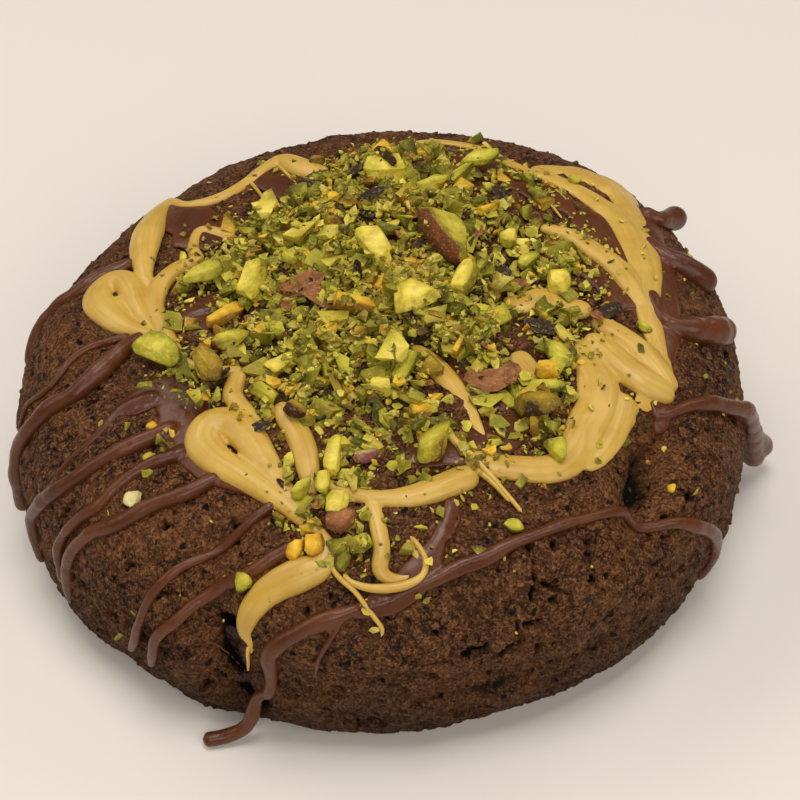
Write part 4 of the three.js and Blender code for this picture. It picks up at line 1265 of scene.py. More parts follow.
        return swept(line.swelled(noise, 0.07, 4.0), outline, 28)

    def build(self) -> list[bpy.types.Object]:
        """Make the ribbon and the threads that were drawn from it."""
        lines = [laid(self.form, route, 0.6) for route in self.strokes]
        shapes = [self._ribbon(line, 60 + i, self.height * share)
                  for i, (line, share) in enumerate(zip(lines, self._shares()))]
        shapes += [swept(laid(self.form, route, 0.8), strip(self.film_height), 16) for route in self.films]
        ribbon = fused(joined(shapes).object("strokes"), "cream_ribbon", self.grain, 2)
        self._mark_flow(ribbon.data, lines)
        thin = [laid(self.form, route, 0.4, 0.45) for route in self.threads]
        threads = self.trees.draw(thin, 0.35, 10, "cream_threads", self.cream)
        self._mark_flow(threads.data, thin)
        return [settle(ribbon, self.cream, ["pistachio_cream"]), settle(threads, self.cream)]

    @staticmethod
    def _mark_flow(mesh: bpy.types.Mesh, lines: Sequence[Line]) -> None:
        """Mark how far across and along the nearest stroke each corner lies."""
        stations = np.vstack([line.point for line in lines])
        across = np.vstack([line.across for line in lines])
        along = np.concatenate([line.travelled + 40.0 * i for i, line in enumerate(lines)])
        number = np.concatenate([np.full(len(line.point), 7.3 * i) for i, line in enumerate(lines)])
        tree = kdtree.KDTree(len(stations))
        for i, station in enumerate(stations):
            tree.insert(station, i)
        tree.balance()
        places = corner_places(mesh)
        nearest = np.array([tree.find(place)[1] for place in places])
        side = np.einsum("ij,ij->i", places - stations[nearest], across[nearest])
        store_mark(mesh, "flow", np.stack([side, along[nearest], number[nearest]], axis=1))


# ------------------------------------------------------------------ pistachios


class Tone(Enum):
    """Colour family of a nut piece: heart, flesh, rim and skin, as seen on screen."""

    PALE = ((246, 226, 118), (232, 210, 80), (198, 184, 50), (146, 134, 30))
    IVORY = ((250, 242, 200), (242, 230, 174), (224, 206, 132), (190, 168, 88))
    GREEN = ((222, 210, 84), (198, 186, 52), (156, 154, 32), (114, 112, 20))
    DEEP = ((166, 156, 42), (134, 128, 26), (98, 96, 16), (62, 56, 12))
    YELLOW = ((250, 210, 76), (238, 186, 42), (206, 154, 26), (152, 110, 18))
    OLIVE = ((190, 160, 50), (150, 120, 26), (106, 80, 14), (66, 40, 12))
    ROASTED = ((218, 202, 80), (190, 176, 46), (144, 130, 28), (124, 70, 36))
    PINK = ((206, 186, 116), (190, 150, 106), (170, 118, 100), (150, 94, 92))
    SKIN = ((168, 112, 68), (148, 92, 52), (118, 70, 40), (88, 50, 28))
    CHAR = ((66, 44, 33), (53, 35, 26), (41, 27, 20), (29, 19, 14))

    def tint(self, depth: np.ndarray) -> np.ndarray:
        """Linear colours for depths from 0 at the heart to 1 at the skin."""
        stops = np.array([linear(*colour) for colour in self.value])
        return np.stack([np.interp(depth, [0.25, 0.66, 0.93, 1.0], stops[:, i]) for i in range(4)], axis=1)

    def shaded(self, depth: np.ndarray, random: np.random.Generator, darkest: float) -> np.ndarray:
        """The tint at depths, darker or lighter by chance, no darker than a share."""
        return np.minimum(self.tint(depth) * [*([random.uniform(darkest, 1.12)] * 3), 1.0], 1.0)


class Cut(Enum):
    """How a knife left a piece: plane directions and how far out each plane lies."""

    HALF = (((0, 0.25, 1), 0.3), ((-1, 0.4, 0.2), 0.72))
    SLAB = (((0, 0.1, 1), 0.5), ((1, 0.25, 0), 0.66), ((-1, 0.3, 0.1), 0.7))
    WEDGE = (((0.2, 0.8, 1), 0.22), ((-1, 0, 0.4), 0.6), ((1, 0.5, -0.3), 0.7))


@dataclass(frozen=True)
class NutPiece:
    """One large cut pistachio piece.

    Attributes:
        u: Skin coordinate to the right.
        v: Skin coordinate to the back.
        size: Length, width and depth of the kernel that it was cut from.
        yaw: Turn of its length from +u, in degrees.
        lean: How far the end that yaw points to dips, in degrees.
        cut: How it was cut.
        tone: Its colour family.
        lift: Height of its middle above the crust, or None to let it come to rest.
        roll: Turn about its own length, in degrees.
        nicks: Further cuts, each a plane's direction and its reach as a share of the kernel's.
    """

    u: float
    v: float
    size: tuple[float, float, float]
    yaw: float
    lean: float
    cut: Cut
    tone: Tone
    lift: float | None = None
    roll: float = 0.0
    nicks: tuple[tuple[float, float, float, float], ...] = ()

    def turn(self, up: np.ndarray) -> Matrix:
        """Rotation that lays the piece on a surface with normal up."""
        stand = Vector((0, 0, 1)).rotation_difference(Vector(up))
        spin = Quaternion((0, 0, 1), math.radians(self.yaw))
        dip = Quaternion((0, 1, 0), math.radians(self.lean))
        rolled = Quaternion((1, 0, 0), math.radians(self.roll))
        return (stand @ spin @ dip @ rolled).to_matrix()


@dataclass
class KernelKnife:
    """Cuts pistachio kernels into pieces."""

    kernel: tuple[float, float, float] = (3.4, 2.2, 2.0)
    stray_cuts: int = 5
    skin_from: float = 0.965
    flesh_to: float = 0.93

    @staticmethod
    def _trim(bm: bmesh.types.BMesh, direction: Vector, reach: float, origin: Vector) -> None:
        """Cut away all that lies beyond a plane and close the cut."""
        bmesh.ops.bisect_plane(bm, geom=[*bm.verts, *bm.edges, *bm.faces], plane_co=origin + direction * reach,
                               plane_no=direction, clear_outer=True)
        bmesh.ops.holes_fill(bm, edges=bm.edges[:])

    @staticmethod
    def depth(points: np.ndarray, half: np.ndarray) -> np.ndarray:
        """Depth in the kernel: 0 at its heart, 1 at its skin."""
        return np.clip(np.linalg.norm(points / half, axis=1), 0.0, 1.0)

    def piece(self, spec: NutPiece, grain: float, seed: int) -> Shape:
        """A large piece with broken, slightly rounded faces, in its own frame."""
        half = np.array(spec.size) / 2
        bm = bmesh.new()
        bmesh.ops.create_icosphere(bm, subdivisions=4, radius=1.0)
        for vert in bm.verts:
            vert.co = Vector(vert.co * Vector(half))
        random = np.random.default_rng(seed)
        chance = [(random.normal(size=3) * [0.5, 1.0, 0.8], random.uniform(0.5, 0.76))
                  for _ in range(self.stray_cuts)]
        nicked = [(nick[:3], nick[3]) for nick in spec.nicks]
        for direction, share in (*spec.cut.value, *nicked, *chance):
            outward = Vector(direction).normalized()
            reach = (Vector(half) * outward).length * share
            self._trim(bm, outward, reach, Vector((0, 0, 0)))
        rough = bpy.data.meshes.new("rough")
        bm.to_mesh(rough)
        bm.free()
        even = fused(in_scene("rough", rough), "even", grain, 0)
        points = corner_places(even.data)
        faces = [tuple(face.vertices) for face in even.data.polygons]
        bpy.data.objects.remove(even)
        noise = Noise(seed)
        depth = self.depth(points, half)
        chipped = 0.07 * noise.soft(points, 1.3) + 0.05 * noise.soft(points, 0.45)
        outward = points / np.maximum(np.linalg.norm(points, axis=1, keepdims=True), 1e-6)
        flesh = 1.0 - smooth_step(depth, self.flesh_to, 0.99)
        points = points + outward * (chipped * (0.6 + 0.4 * flesh))[:, None]
        mottled = np.clip(depth + 0.12 * noise.soft(points, 1.5) + 0.08 * noise.soft(points, 0.6), 0, 1)
        tint = spec.tone.tint(np.where(depth > self.skin_from, 1.0, np.minimum(mottled, self.flesh_to)))
        tint[:, :3] *= (1.0 + 0.22 * noise.soft(points + 9.0, 0.9))[:, None]
        return Shape(points, faces, {"tint": tint})

    def chip(self, random: np.random.Generator, tone: Tone, sides: int, split: bool) -> Shape:
        """A sharp shard about 1 mm wide in its own frame, cut from somewhere in a kernel.

        Args:
            random: Source of the draws.
            tone: Its colour family.
            sides: How many cuts bound it all round.
            split: Whether its faces are divided, for a larger chip.

        Returns:
            The shard.
        """
        half = np.array(self.kernel)
        heading = Vector(random.normal(size=3)).normalized()
        centre = Vector(np.array(heading) * half * random.uniform(0.1, 0.42))
        bm = bmesh.new()
        bmesh.ops.create_cube(bm, size=2.0)
        bmesh.ops.translate(bm, verts=bm.verts, vec=centre)
        for side in (1, -1):
            facing = Vector((random.normal(0, 0.22), random.normal(0, 0.22), side)).normalized()
            self._trim(bm, facing, random.uniform(0.13, 0.3), centre)
        for i in range(sides):
            angle = 2 * math.pi * (i + random.uniform(-0.35, 0.35)) / sides
            facing = Vector((math.cos(angle), math.sin(angle), random.normal(0, 0.5))).normalized()
            self._trim(bm, facing, random.uniform(0.26, 0.54), centre)
        bmesh.ops.triangulate(bm, faces=bm.faces[:])
        if split:
            bmesh.ops.subdivide_edges(bm, edges=bm.edges[:], cuts=1, use_grid_fill=True)
            bmesh.ops.triangulate(bm, faces=bm.faces[:])
        points, faces = taken_off(bm)
        depth = self.depth(points, half / 2)
        jitter = random.normal(scale=0.03 if split else 0.0, size=points.shape)
        return Shape(points - np.array(centre) + jitter, faces, {"tint": tone.shaded(depth, random, 0.5)})

    @staticmethod
    def sliver(random: np.random.Generator, tone: Tone) -> Shape:
        """A thin curled shaving about 1 mm wide, paler where its edge is thin."""
        sides = int(random.integers(5, 8))
        angle = 2 * math.pi * (np.arange(sides) + random.uniform(-0.3, 0.3, sides)) / sides
        reach = random.uniform(0.34, 0.62, sides)
        curl, twist = random.uniform(-0.7, 0.9), random.normal(0, 0.5)
        thick = random.uniform(0.06, 0.17)
        rim = np.column_stack([reach * np.cos(angle), reach * np.sin(angle)])
        bend = curl * rim[:, 0] ** 2 + twist * rim[:, 0] * rim[:, 1]
        top = np.column_stack([rim, bend + thick * random.uniform(0.5, 1.2, sides)])
        low = np.column_stack([rim * random.uniform(0.8, 1.1, (sides, 1)), bend - thick])
        points = np.vstack([top, low, [[0.0, 0.0, thick * 1.8], [0.0, 0.0, -thick * 1.6]]])
        faces: Faces = []
        for i in range(sides):
            after = (i + 1) % sides
            faces += [(i, after, 2 * sides), (sides + after, sides + i, 2 * sides + 1),
                      (i, sides + i, after), (after, sides + i, sides + after)]
        depth = np.concatenate([random.uniform(0.2, 0.6, sides), random.uniform(0.5, 0.97, sides), [0.72, 1.0]])
        return Shape(points, faces, {"tint": tone.shaded(depth, random, 0.45)})

    @staticmethod
    def flake(random: np.random.Generator, size: float, tone: Tone, curl: float) -> Shape:
        """A thin curled flake of skin with a torn edge."""
        spokes, rings = 14, 3
        points, faces = [], []
        torn = 1.0 + 0.1 * random.normal(size=spokes)
        for side in (1, -1):
            base = len(points)
            points.append((0.0, 0.0, 0.05 * size * side))
            for ring in range(1, rings + 1):
                for spoke in range(spokes):
                    angle, reach = 2 * math.pi * spoke / spokes, size * 0.5 * ring / rings * torn[spoke]
                    x, y = reach * math.cos(angle), reach * 0.6 * math.sin(angle)
                    thin = 0.05 * size * side * (ring < rings)
                    points.append((x, y, curl * (x * x * 0.5 + y * y) / size + thin))
            for spoke in range(spokes):
                after = (spoke + 1) % spokes
                rims = [base + 1 + ring * spokes for ring in range(rings)]
                drawn = [(base, base + 1 + spoke, base + 1 + after)]
                drawn += [(low + spoke, high + spoke, high + after, low + after) for low, high in zip(rims, rims[1:])]
                faces += [face[::side] for face in drawn]
        points = np.array(points) + random.normal(scale=0.015 * size, size=(len(points), 3)) * [1, 1, 0]
        top, bottom = 1 + (rings - 1) * spokes, 1 + (rings - 1) * spokes + 1 + rings * spokes
        points[bottom:bottom + spokes] = points[top:top + spokes]
        bm = bmesh.new()
        corners = [bm.verts.new(point) for point in points]
        for face in faces:
            bm.faces.new([corners[i] for i in face])
        bmesh.ops.remove_doubles(bm, verts=bm.verts, dist=1e-5)
        kept, shown = taken_off(bm)
        return Shape(kept, shown, {"tint": tone.tint(random.uniform(0.3, 0.95, len(kept)))})


@dataclass
class Pile:
    """Heights of what already lies on the crust, so that new pieces come to rest on it."""

    reach: float = 62.0
    cell: float = 0.35

    def __post_init__(self) -> None:
        """Start with bare crust."""
        self.count = int(2 * self.reach / self.cell)
        self.height = np.zeros((self.count, self.count))

    def _window(self, u: float, v: float, radius: float) -> tuple[slice, slice, np.ndarray]:
        """Cells round a place and their distances from it, as a share of radius."""
        low = [min(max(int((value - radius + self.reach) / self.cell), 0), self.count) for value in (u, v)]
        high = [min(max(int((value + radius + self.reach) / self.cell) + 2, 0), self.count) for value in (u, v)]
        us = (np.arange(low[0], high[0]) + 0.5) * self.cell - self.reach
        vs = (np.arange(low[1], high[1]) + 0.5) * self.cell - self.reach
        gap = np.hypot(us[:, None] - u, vs[None, :] - v) / radius
        return slice(low[0], high[0]), slice(low[1], high[1]), gap

    def cover(self, line: Route, rise: float) -> None:
        """Raise the pile along a route of (u, v, width) by rise for each width."""
        for u, v, width in through(np.array(line, float), 0.7):
            rows, columns, gap = self._window(u, v, width / 2)
            dome = rise * width * np.sqrt(np.clip(1 - gap**2, 0, 1))
            self.height[rows, columns] = np.maximum(self.height[rows, columns], dome)

    def at(self, u: np.ndarray, v: np.ndarray) -> np.ndarray:
        """Height of the pile at many places."""
        column = np.clip(((u + self.reach) / self.cell).astype(int), 0, self.count - 1)
        row = np.clip(((v + self.reach) / self.cell).astype(int), 0, self.count - 1)
        return self.height[column, row]

    def rest(self, u: float, v: float, radius: float) -> float:
        """Height at which a piece of that radius comes to rest."""
        rows, columns, gap = self._window(u, v, radius)
        under = self.height[rows, columns][gap < 1]
        return float(np.percentile(under, 60)) if len(under) else 0.0

    def add(self, u: float, v: float, radius: float, top: float) -> None:
        """Let a piece of that radius fill the pile up to top."""
        rows, columns, gap = self._window(u, v, radius)
        patch = self.height[rows, columns]
        patch[gap < 0.85] = np.maximum(patch[gap < 0.85], top)  # the patch is a view of the pile


@dataclass
class ChoppedPistachios:
    """The nuts: the largest pieces one by one, and the heap of chips, crumbs, skins and flakes."""

    form: CrustForm
    nut: CutNut
    trees: GrowthTrees
    cream_routes: tuple[tuple[Route, float], ...]
    chocolate_routes: tuple[Route, ...]
    chips: int = 150
    crumbs: int = 2600
    powder: int = 6500
    slimmest: tuple[float, float, float] = (0.85, 0.6, 0.6)
    fullest: tuple[float, float, float] = (1.4, 1.1, 1.3)
    bedding: float = 0.7
    bed_depth: float = 2.3
    centre: tuple[float, float] = (1.0, -3.0)
    edge: Route = (
        (34, 1), (33, 9), (27, 22), (22, 31), (10, 38), (-1, 38.5), (-12, 34), (-22, 27), (-28, 14), (-32, 1),
        (-31, -14), (-22, -27), (-15, -37), (-12, -47), (-4, -51), (2, -45), (12, -38), (22, -34), (29, -27),
        (31, -12), (34, 1),
    )
    bare: Route = (
        (-25, -31, 5.5), (-19, -37, 4), (-13, -54, 5), (-0.6, -50, 1.6), (12, -25, 2), (20, -38.5, 3.2),
        (27, -36, 4), (31, -27, 4.4), (31.5, -19, 3.4), (5, -15, 2.6), (8, -19, 2.6), (13.6, -29, 1.8),
        (-13.6, -28, 2.2), (-11, -38, 2), (3, -42.4, 2.6), (8, -41, 2.6), (-2, -43, 2), (-22, -21, 1.8),
        (24, -1.6, 2.4), (30, -3.4, 2.4), (41, -14, 5), (38, -18, 4.5), (41, 14, 5), (42, 4, 4.5), (37, 24, 5),
        (42, -6, 4), (33, 11, 3), (-11.6, -34, 2.4), (-41.5, 17, 6), (-44, 1, 8), (-36.5, 0, 2.5), (34, 36, 6),
        (10, 43, 4),
    )
    thin: tuple[tuple[float, float, float, float], ...] = (
        (18, 26, 6, 0.3), (24, 18, 6, 0.3), (26.5, 5, 6, 0.45), (32, 0, 6, 0.4), (21, -16, 5, 0.3),
        (12, -25, 7, 0.25), (17, -31, 6, 0.35), (22, -10, 5, 0.5), (-27, -3, 5, 0.3), (-24, 30, 8, 0.25),
        (-14, -32, 6, 0.3), (4, -38, 6, 0.4), (16, 12, 5, 0.5), (-28, 20, 7, 0.5), (-17.5, 33, 7, 0.15),
        (-21, 26, 5, 0.3), (-8, -36, 5, 0.6), (13, 36, 5, 0.5), (2, -45, 5, 0.25), (-20, -20, 4, 0.5),
    )
    large: tuple[NutPiece, ...] = (
        NutPiece(9.6, 9.2, (15.6, 8, 7.6), -60, 12, Cut.HALF, Tone.ROASTED, 5.3, -16, ((0.6, 0.9, 0.5, 0.52),
                 (1, 0.2, 0.6, 0.74))),
        NutPiece(-0.6, 27, (9.6, 6.6, 6.4), 4, 0, Cut.SLAB, Tone.PALE, 4.2, 16, ((0, -1, 0.3, 0.6),)),
        NutPiece(14.6, 32.2, (8, 3.8, 3.4), 22, -8, Cut.HALF, Tone.GREEN, 3.2, 30),
        NutPiece(6.8, 23, (7.6, 4.6, 3.8), 28, -12, Cut.WEDGE, Tone.GREEN, 4.2, 20, ((0, -0.7, 0.6, 0.4),)),
        NutPiece(-1.8, 6.4, (9.6, 6.2, 4), -64, 14, Cut.SLAB, Tone.PALE, 4.8, 0, ((0.1, -1, 0.1, 0.64),
                 (0.2, 1, 0, 0.66), (0, 0, 1, 0.36))),
        NutPiece(-5, -7.4, (9, 4.8, 4.6), -12, 0, Cut.WEDGE, Tone.YELLOW, 4.8, 14, ((0, 0.4, 1, 0.4),)),
        NutPiece(4.6, -7.2, (10, 6.4, 5), 20, -8, Cut.SLAB, Tone.PALE, 5.2, 14, ((0, -0.8, 0.7, 0.52),
                 (-0.6, 0.2, 0.7, 0.6))),
        NutPiece(-33.6, -15, (9.6, 5.2, 4.6), -38, 0, Cut.HALF, Tone.GREEN, 3.2, 24, ((0.2, -0.5, 0.9, 0.34),)),
        NutPiece(-25.8, -18.6, (8, 6, 5), -38, 10, Cut.WEDGE, Tone.OLIVE, 3.6, 24, ((-0.2, -0.5, 0.8, 0.26),)),
        NutPiece(22, -27.8, (9, 5.6, 5), 10, -8, Cut.WEDGE, Tone.OLIVE, 4, 10, ((0.6, -0.4, 0.8, 0.5),)),
        NutPiece(6.6, -35.6, (8.2, 5, 5), 42, -10, Cut.HALF, Tone.ROASTED, 3.8, -18, ((-0.7, 0.6, 0.5, 0.56),)),
        NutPiece(-21.2, -1.6, (9.4, 5, 4), 76, -14, Cut.SLAB, Tone.PALE, 4.3, -14, ((0, 1, 0.4, 0.6),)),
        NutPiece(-29.6, 1.6, (7.6, 4.2, 3.4), 15, -8, Cut.HALF, Tone.GREEN, 3.3, 30, ((0, -0.6, 0.8, 0.34),)),
        NutPiece(12, -1.8, (8.2, 4.6, 4.2), 74, -14, Cut.SLAB, Tone.PALE, 4.7, -10, ((0, 1, 0.3, 0.6),)),
    )
    medium: tuple[NutPiece, ...] = (
        NutPiece(-1, 38.4, (4.6, 3.6, 4.4), 10, -40, Cut.SLAB, Tone.YELLOW),
        NutPiece(0.2, 13.9, (7, 3.8, 3.2), -10, 0, Cut.WEDGE, Tone.GREEN),
        NutPiece(-23.2, -12.6, (6.6, 4.4, 3.6), 8, 0, Cut.HALF, Tone.ROASTED),
        NutPiece(-15.4, -18.9, (6.8, 3.6, 3), 25, 0, Cut.HALF, Tone.PALE),
        NutPiece(-17.3, -23.5, (6, 4.6, 4), -45, 0, Cut.WEDGE, Tone.GREEN),
        NutPiece(-24.8, -7, (8, 3.6, 3.2), 40, 0, Cut.HALF, Tone.YELLOW),
        NutPiece(26.5, -15.8, (6, 3.8, 3.6), -62, 0, Cut.HALF, Tone.GREEN),
        NutPiece(24.2, -20, (4.6, 4.2, 3), 0, 0, Cut.SLAB, Tone.YELLOW),
        NutPiece(23.6, -23.2, (6.4, 2.8, 2.6), 0, 0, Cut.HALF, Tone.GREEN),
        NutPiece(24.7, -34.7, (4.8, 4, 3), -50, 10, Cut.SLAB, Tone.GREEN),
        NutPiece(27.4, 0.9, (5.4, 4.4, 4.4), 80, 0, Cut.SLAB, Tone.PALE),
        NutPiece(14.6, -8.8, (4.2, 3.6, 2.6), 50, -10, Cut.SLAB, Tone.GREEN),
        NutPiece(17.8, -7.6, (4.4, 4, 2.8), 20, -8, Cut.SLAB, Tone.GREEN),
        NutPiece(-7.2, -36, (7.6, 3, 3), 84, 0, Cut.HALF, Tone.PALE),
        NutPiece(-2.9, -35.7, (4.6, 3, 2.8), 25, 0, Cut.WEDGE, Tone.PINK),
        NutPiece(-11.4, -41.2, (4.8, 3.8, 3.4), 60, 0, Cut.WEDGE, Tone.GREEN),
        NutPiece(-8.6, -40.4, (4.8, 3, 2.2), 84, 0, Cut.SLAB, Tone.PALE),
        NutPiece(-6.6, -43.6, (5.6, 3.8, 2.4), 66, -6, Cut.SLAB, Tone.PALE),
        NutPiece(-6.3, -46.2, (5.4, 3.8, 3.4), 20, 0, Cut.HALF, Tone.SKIN),
        NutPiece(-9.8, -49.4, (4.4, 3.2, 3), 80, 0, Cut.SLAB, Tone.YELLOW),
        NutPiece(-12.3, -49.8, (4.4, 2.4, 2.4), 70, 0, Cut.SLAB, Tone.YELLOW),
        NutPiece(-3.4, -49, (4.4, 3.4, 3), 25, 0, Cut.WEDGE, Tone.GREEN),
        NutPiece(-5.8, -51.4, (5, 2.4, 2.6), 84, 0, Cut.SLAB, Tone.DEEP),
        NutPiece(-19.8, -53, (3.6, 3.2, 2.4), 30, 0, Cut.SLAB, Tone.GREEN),
        NutPiece(14.8, 45.6, (4, 2.6, 2.6), 40, -34, Cut.WEDGE, Tone.GREEN),
        NutPiece(31, 31, (3.4, 2.4, 2), 10, 0, Cut.SLAB, Tone.GREEN),
        NutPiece(41, -6.9, (3, 2.2, 2), -40, 0, Cut.HALF, Tone.GREEN),
        NutPiece(-12.3, 35.5, (3.6, 2.4, 2.2), 10, 0, Cut.SLAB, Tone.OLIVE),
        NutPiece(-20.5, 21.1, (4, 3.2, 3), 30, 0, Cut.SLAB, Tone.YELLOW),
        NutPiece(4.9, -28, (4.6, 3.4, 2.6), 14, 0, Cut.SLAB, Tone.YELLOW),
        NutPiece(2.6, -20.7, (7.8, 3, 3), 64, -8, Cut.HALF, Tone.GREEN),
        NutPiece(-0.9, -24.3, (4.6, 4, 3.4), -10, 0, Cut.SLAB, Tone.PALE),
        NutPiece(-35.4, -39.1, (3.4, 3, 2.6), 70, 0, Cut.SLAB, Tone.IVORY),
        NutPiece(-33.4, -32.7, (2.6, 2, 1.8), 50, 0, Cut.SLAB, Tone.GREEN),
        NutPiece(-33.2, -27.6, (2.2, 2, 1.8), -40, 0, Cut.SLAB, Tone.YELLOW),
        NutPiece(18, -46.4, (3.4, 2.2, 1.8), -10, 0, Cut.HALF, Tone.GREEN),
        NutPiece(44.4, -36, (2.2, 1.8, 1.2), 40, 0, Cut.SLAB, Tone.YELLOW, 0.0),
        NutPiece(-9.4, 12.6, (5, 3.4, 2.8), 60, 0, Cut.SLAB, Tone.PALE),
        NutPiece(-15.4, 5.6, (6, 3.4, 2.6), -20, 0, Cut.HALF, Tone.GREEN),
        NutPiece(-8.6, -12.4, (5, 4, 3), 40, 0, Cut.SLAB, Tone.YELLOW),
        NutPiece(19.6, 12.4, (5, 3.4, 3), 70, 0, Cut.SLAB, Tone.PALE),
        NutPiece(22.4, 6.6, (5.4, 3, 3), 40, 0, Cut.HALF, Tone.GREEN),
        NutPiece(15.8, 18.4, (5, 3, 2.8), 40, 0, Cut.WEDGE, Tone.YELLOW),
        NutPiece(-9.8, 21.6, (4.6, 3.2, 2.6), 30, 0, Cut.SLAB, Tone.YELLOW),
        NutPiece(-12.6, -27.6, (4.6, 3.8, 3.2), -30, 0, Cut.WEDGE, Tone.OLIVE),
        NutPiece(10.4, -12.8, (5.4, 4.2, 3), 60, 0, Cut.WEDGE, Tone.OLIVE),
    )
    flakes: tuple[tuple[float, float, float, float, Tone], ...] = (
        (-13.4, -0.6, 8.5, 20, Tone.SKIN), (-10.5, -3.4, 6.5, -40, Tone.SKIN), (16.5, -21.8, 8, 22, Tone.SKIN),
        (-24.1, 14, 4.2, 0, Tone.CHAR), (24.5, -9.2, 6, -18, Tone.CHAR), (35.7, -4.4, 5, 50, Tone.CHAR),
        (33.3, -6.8, 4, 70, Tone.SKIN), (-17.4, -30.2, 3.4, 10, Tone.CHAR), (3.4, 11.4, 5, 10, Tone.SKIN),
        (-24.6, 1.6, 4.4, 50, Tone.SKIN), (18.6, 24.6, 5, -20, Tone.CHAR), (13.4, 13.4, 5, 20, Tone.SKIN),
        (-2.6, 21, 4.6, 10, Tone.CHAR), (8.4, -16.6, 4, 0, Tone.CHAR), (20.4, 1, 4.6, 12, Tone.SKIN),
    )
    mix: tuple[Tone, ...] = (Tone.PALE, Tone.GREEN, Tone.GREEN, Tone.PALE, Tone.OLIVE, Tone.YELLOW, Tone.GREEN,
                             Tone.DEEP, Tone.PALE, Tone.GREEN)
    kinds: int = 40
    small_flakes: int = 120
    bed_mesh: tuple[int, int] = (220, 84)
    # bed_shade darkens the bed's colour: painted shade in the gaps between the nuts
    bed_shade: tuple[float, ...] = (0.3, 0.25, 0.2, 1.0)
    strays: tuple[tuple[float, float, float, int], ...] = (
        (-32, -30, 7, 26), (-38, -40, 8, 12), (6, -48, 6, 26), (20, -44, 7, 18), (46, -31, 4, 6),
        (-14, -56, 6, 8), (-40, 14, 8, 14), (53, -15, 5, 7), (40, 10, 8, 26), (22, 38, 9, 22),
        (-20, 36, 7, 18), (34, -24, 6, 14),
    )

    def __post_init__(self) -> None:
        """Start the pile with the cream and the chocolate that lie under the nuts."""
        self.knife = KernelKnife()
        self.pile, self.ribbon, self.taken, self.bed = Pile(), Pile(), Pile(), Pile()
        for route in self.chocolate_routes:
            self.pile.cover(route, 0.3 if min(stop[2] for stop in route) < 3 else 0.1)
        for route, rise in self.cream_routes:
            self.pile.cover(route, rise)
            self.ribbon.cover(route, rise)

    def _edge_reach(self, angle: np.ndarray) -> np.ndarray:
        """How far the heap's edge lies from its centre in directions angle."""
        out = through(np.array(self.edge, float), 1.0) - self.centre
        turned = np.arctan2(out[:, 1], out[:, 0])
        order = np.argsort(turned)
        return np.interp(angle, turned[order], np.hypot(out[:, 0], out[:, 1])[order], period=2 * math.pi)

    def _share_out(self, u: np.ndarray, v: np.ndarray) -> np.ndarray:
        """How far out in the heap places lie: 0 at its centre, 1 at its edge."""
        across, along = u - self.centre[0], v - self.centre[1]
        return np.hypot(across, along) / self._edge_reach(np.arctan2(along, across))

    def _places(self, random: np.random.Generator, count: int, fade: float, shy: float) -> np.ndarray:
        """Random places in the heap.

        Args:
            random: Source of the draws.
            count: How many places.
            fade: Where in the heap it thins out, as a share of its reach.
            shy: How much pieces keep off the bare cream, from 0 to 1.

        Returns:
            Rows of u and v.
        """
        kept: list[np.ndarray] = []
        while sum(len(rows) for rows in kept) < count:
            rows = random.uniform(-56, 50, (count, 2))
            kept.append(rows[random.random(count) < self._chance(rows, fade, shy)])
        return np.vstack(kept)[:count]

    def _chance(self, rows: np.ndarray, fade: float, shy: float) -> np.ndarray:
        """How likely nuts lie at places, from 0 to 1, for a fade and a shyness as in _places."""
        share = self._share_out(rows[:, 0], rows[:, 1])
        chance = 1.0 - smooth_step(share, fade, fade + 0.28)
        chance *= 0.7 + 0.3 * Noise(9).soft(np.column_stack([rows, rows[:, 0] * 0]), 7.0)
        chance *= 1.0 - 0.8 * shy * smooth_step(self.ribbon.at(rows[:, 0], rows[:, 1]), 0.2, 0.9)
        zones = [(u, v, reach, 1.0 - left, 0.7, 1.2) for u, v, reach, left in self.thin]
        zones += [(u, v, reach, shy, 0.75, 1.15) for u, v, reach in self.bare]
        for u, v, reach, loss, full, none in zones:
            near = np.hypot(rows[:, 0] - u, rows[:, 1] - v)
            chance *= 1.0 - loss * (1.0 - smooth_step(near, reach * full, reach * none))
        return chance

    def build_bed(self) -> bpy.types.Object:
        """The thickness of the heap under its loose nuts: a lumpy patch that follows the crust, darkened as painted
        shade for the gaps between the nuts.
        """
        around, rows = self.bed_mesh
        angle = np.linspace(-math.pi, math.pi, around, endpoint=False)
        reach = self._edge_reach(angle)
        share = np.linspace(0.0, 1.04, rows + 1)[:, None]
        u = self.centre[0] + share * reach * np.cos(angle)
        v = self.centre[1] + share * reach * np.sin(angle)
        places = np.column_stack([u.ravel(), v.ravel()])
        flat = np.column_stack([places, places[:, 0] * 0])
        full = self._chance(places, 0.84, 0.95) * np.sqrt(np.clip(1.0 - np.repeat(share[:, 0], around) ** 3, 0, 1))
        lumps = 0.45 * Noise(12).soft(flat, 2.2) + 0.35 * Noise(13).soft(flat, 1.1)
        rise = smooth_step(full, 0.25, 0.75) * self.bed_depth + lumps * smooth_step(full, 0.2, 0.5) - 0.5
        rise[-around:] = -0.7
        point, _ = self.form.place(places[:, 0], places[:, 1], rise)
        points = np.vstack([point[:1], point[around:], self.form.spot(*self.centre, -3.0)[0]])
        for i in range(0, len(places), 2):
            self.bed.add(places[i, 0], places[i, 1], 0.5, rise[i])
        self.pile.height = np.maximum(self.pile.height, self.bed.height)
        # Painted shade: the bed's olive tint is darkened so that it reads as the shade between the nuts
        tint = Tone.OLIVE.tint(np.clip(0.86 + 0.3 * Noise(14).soft(points, 1.3), 0, 1)) * self.bed_shade
        return settle(Shape(points, ring_faces(rows, around), {"tint": tint}).object("nut_bed"), self.nut)

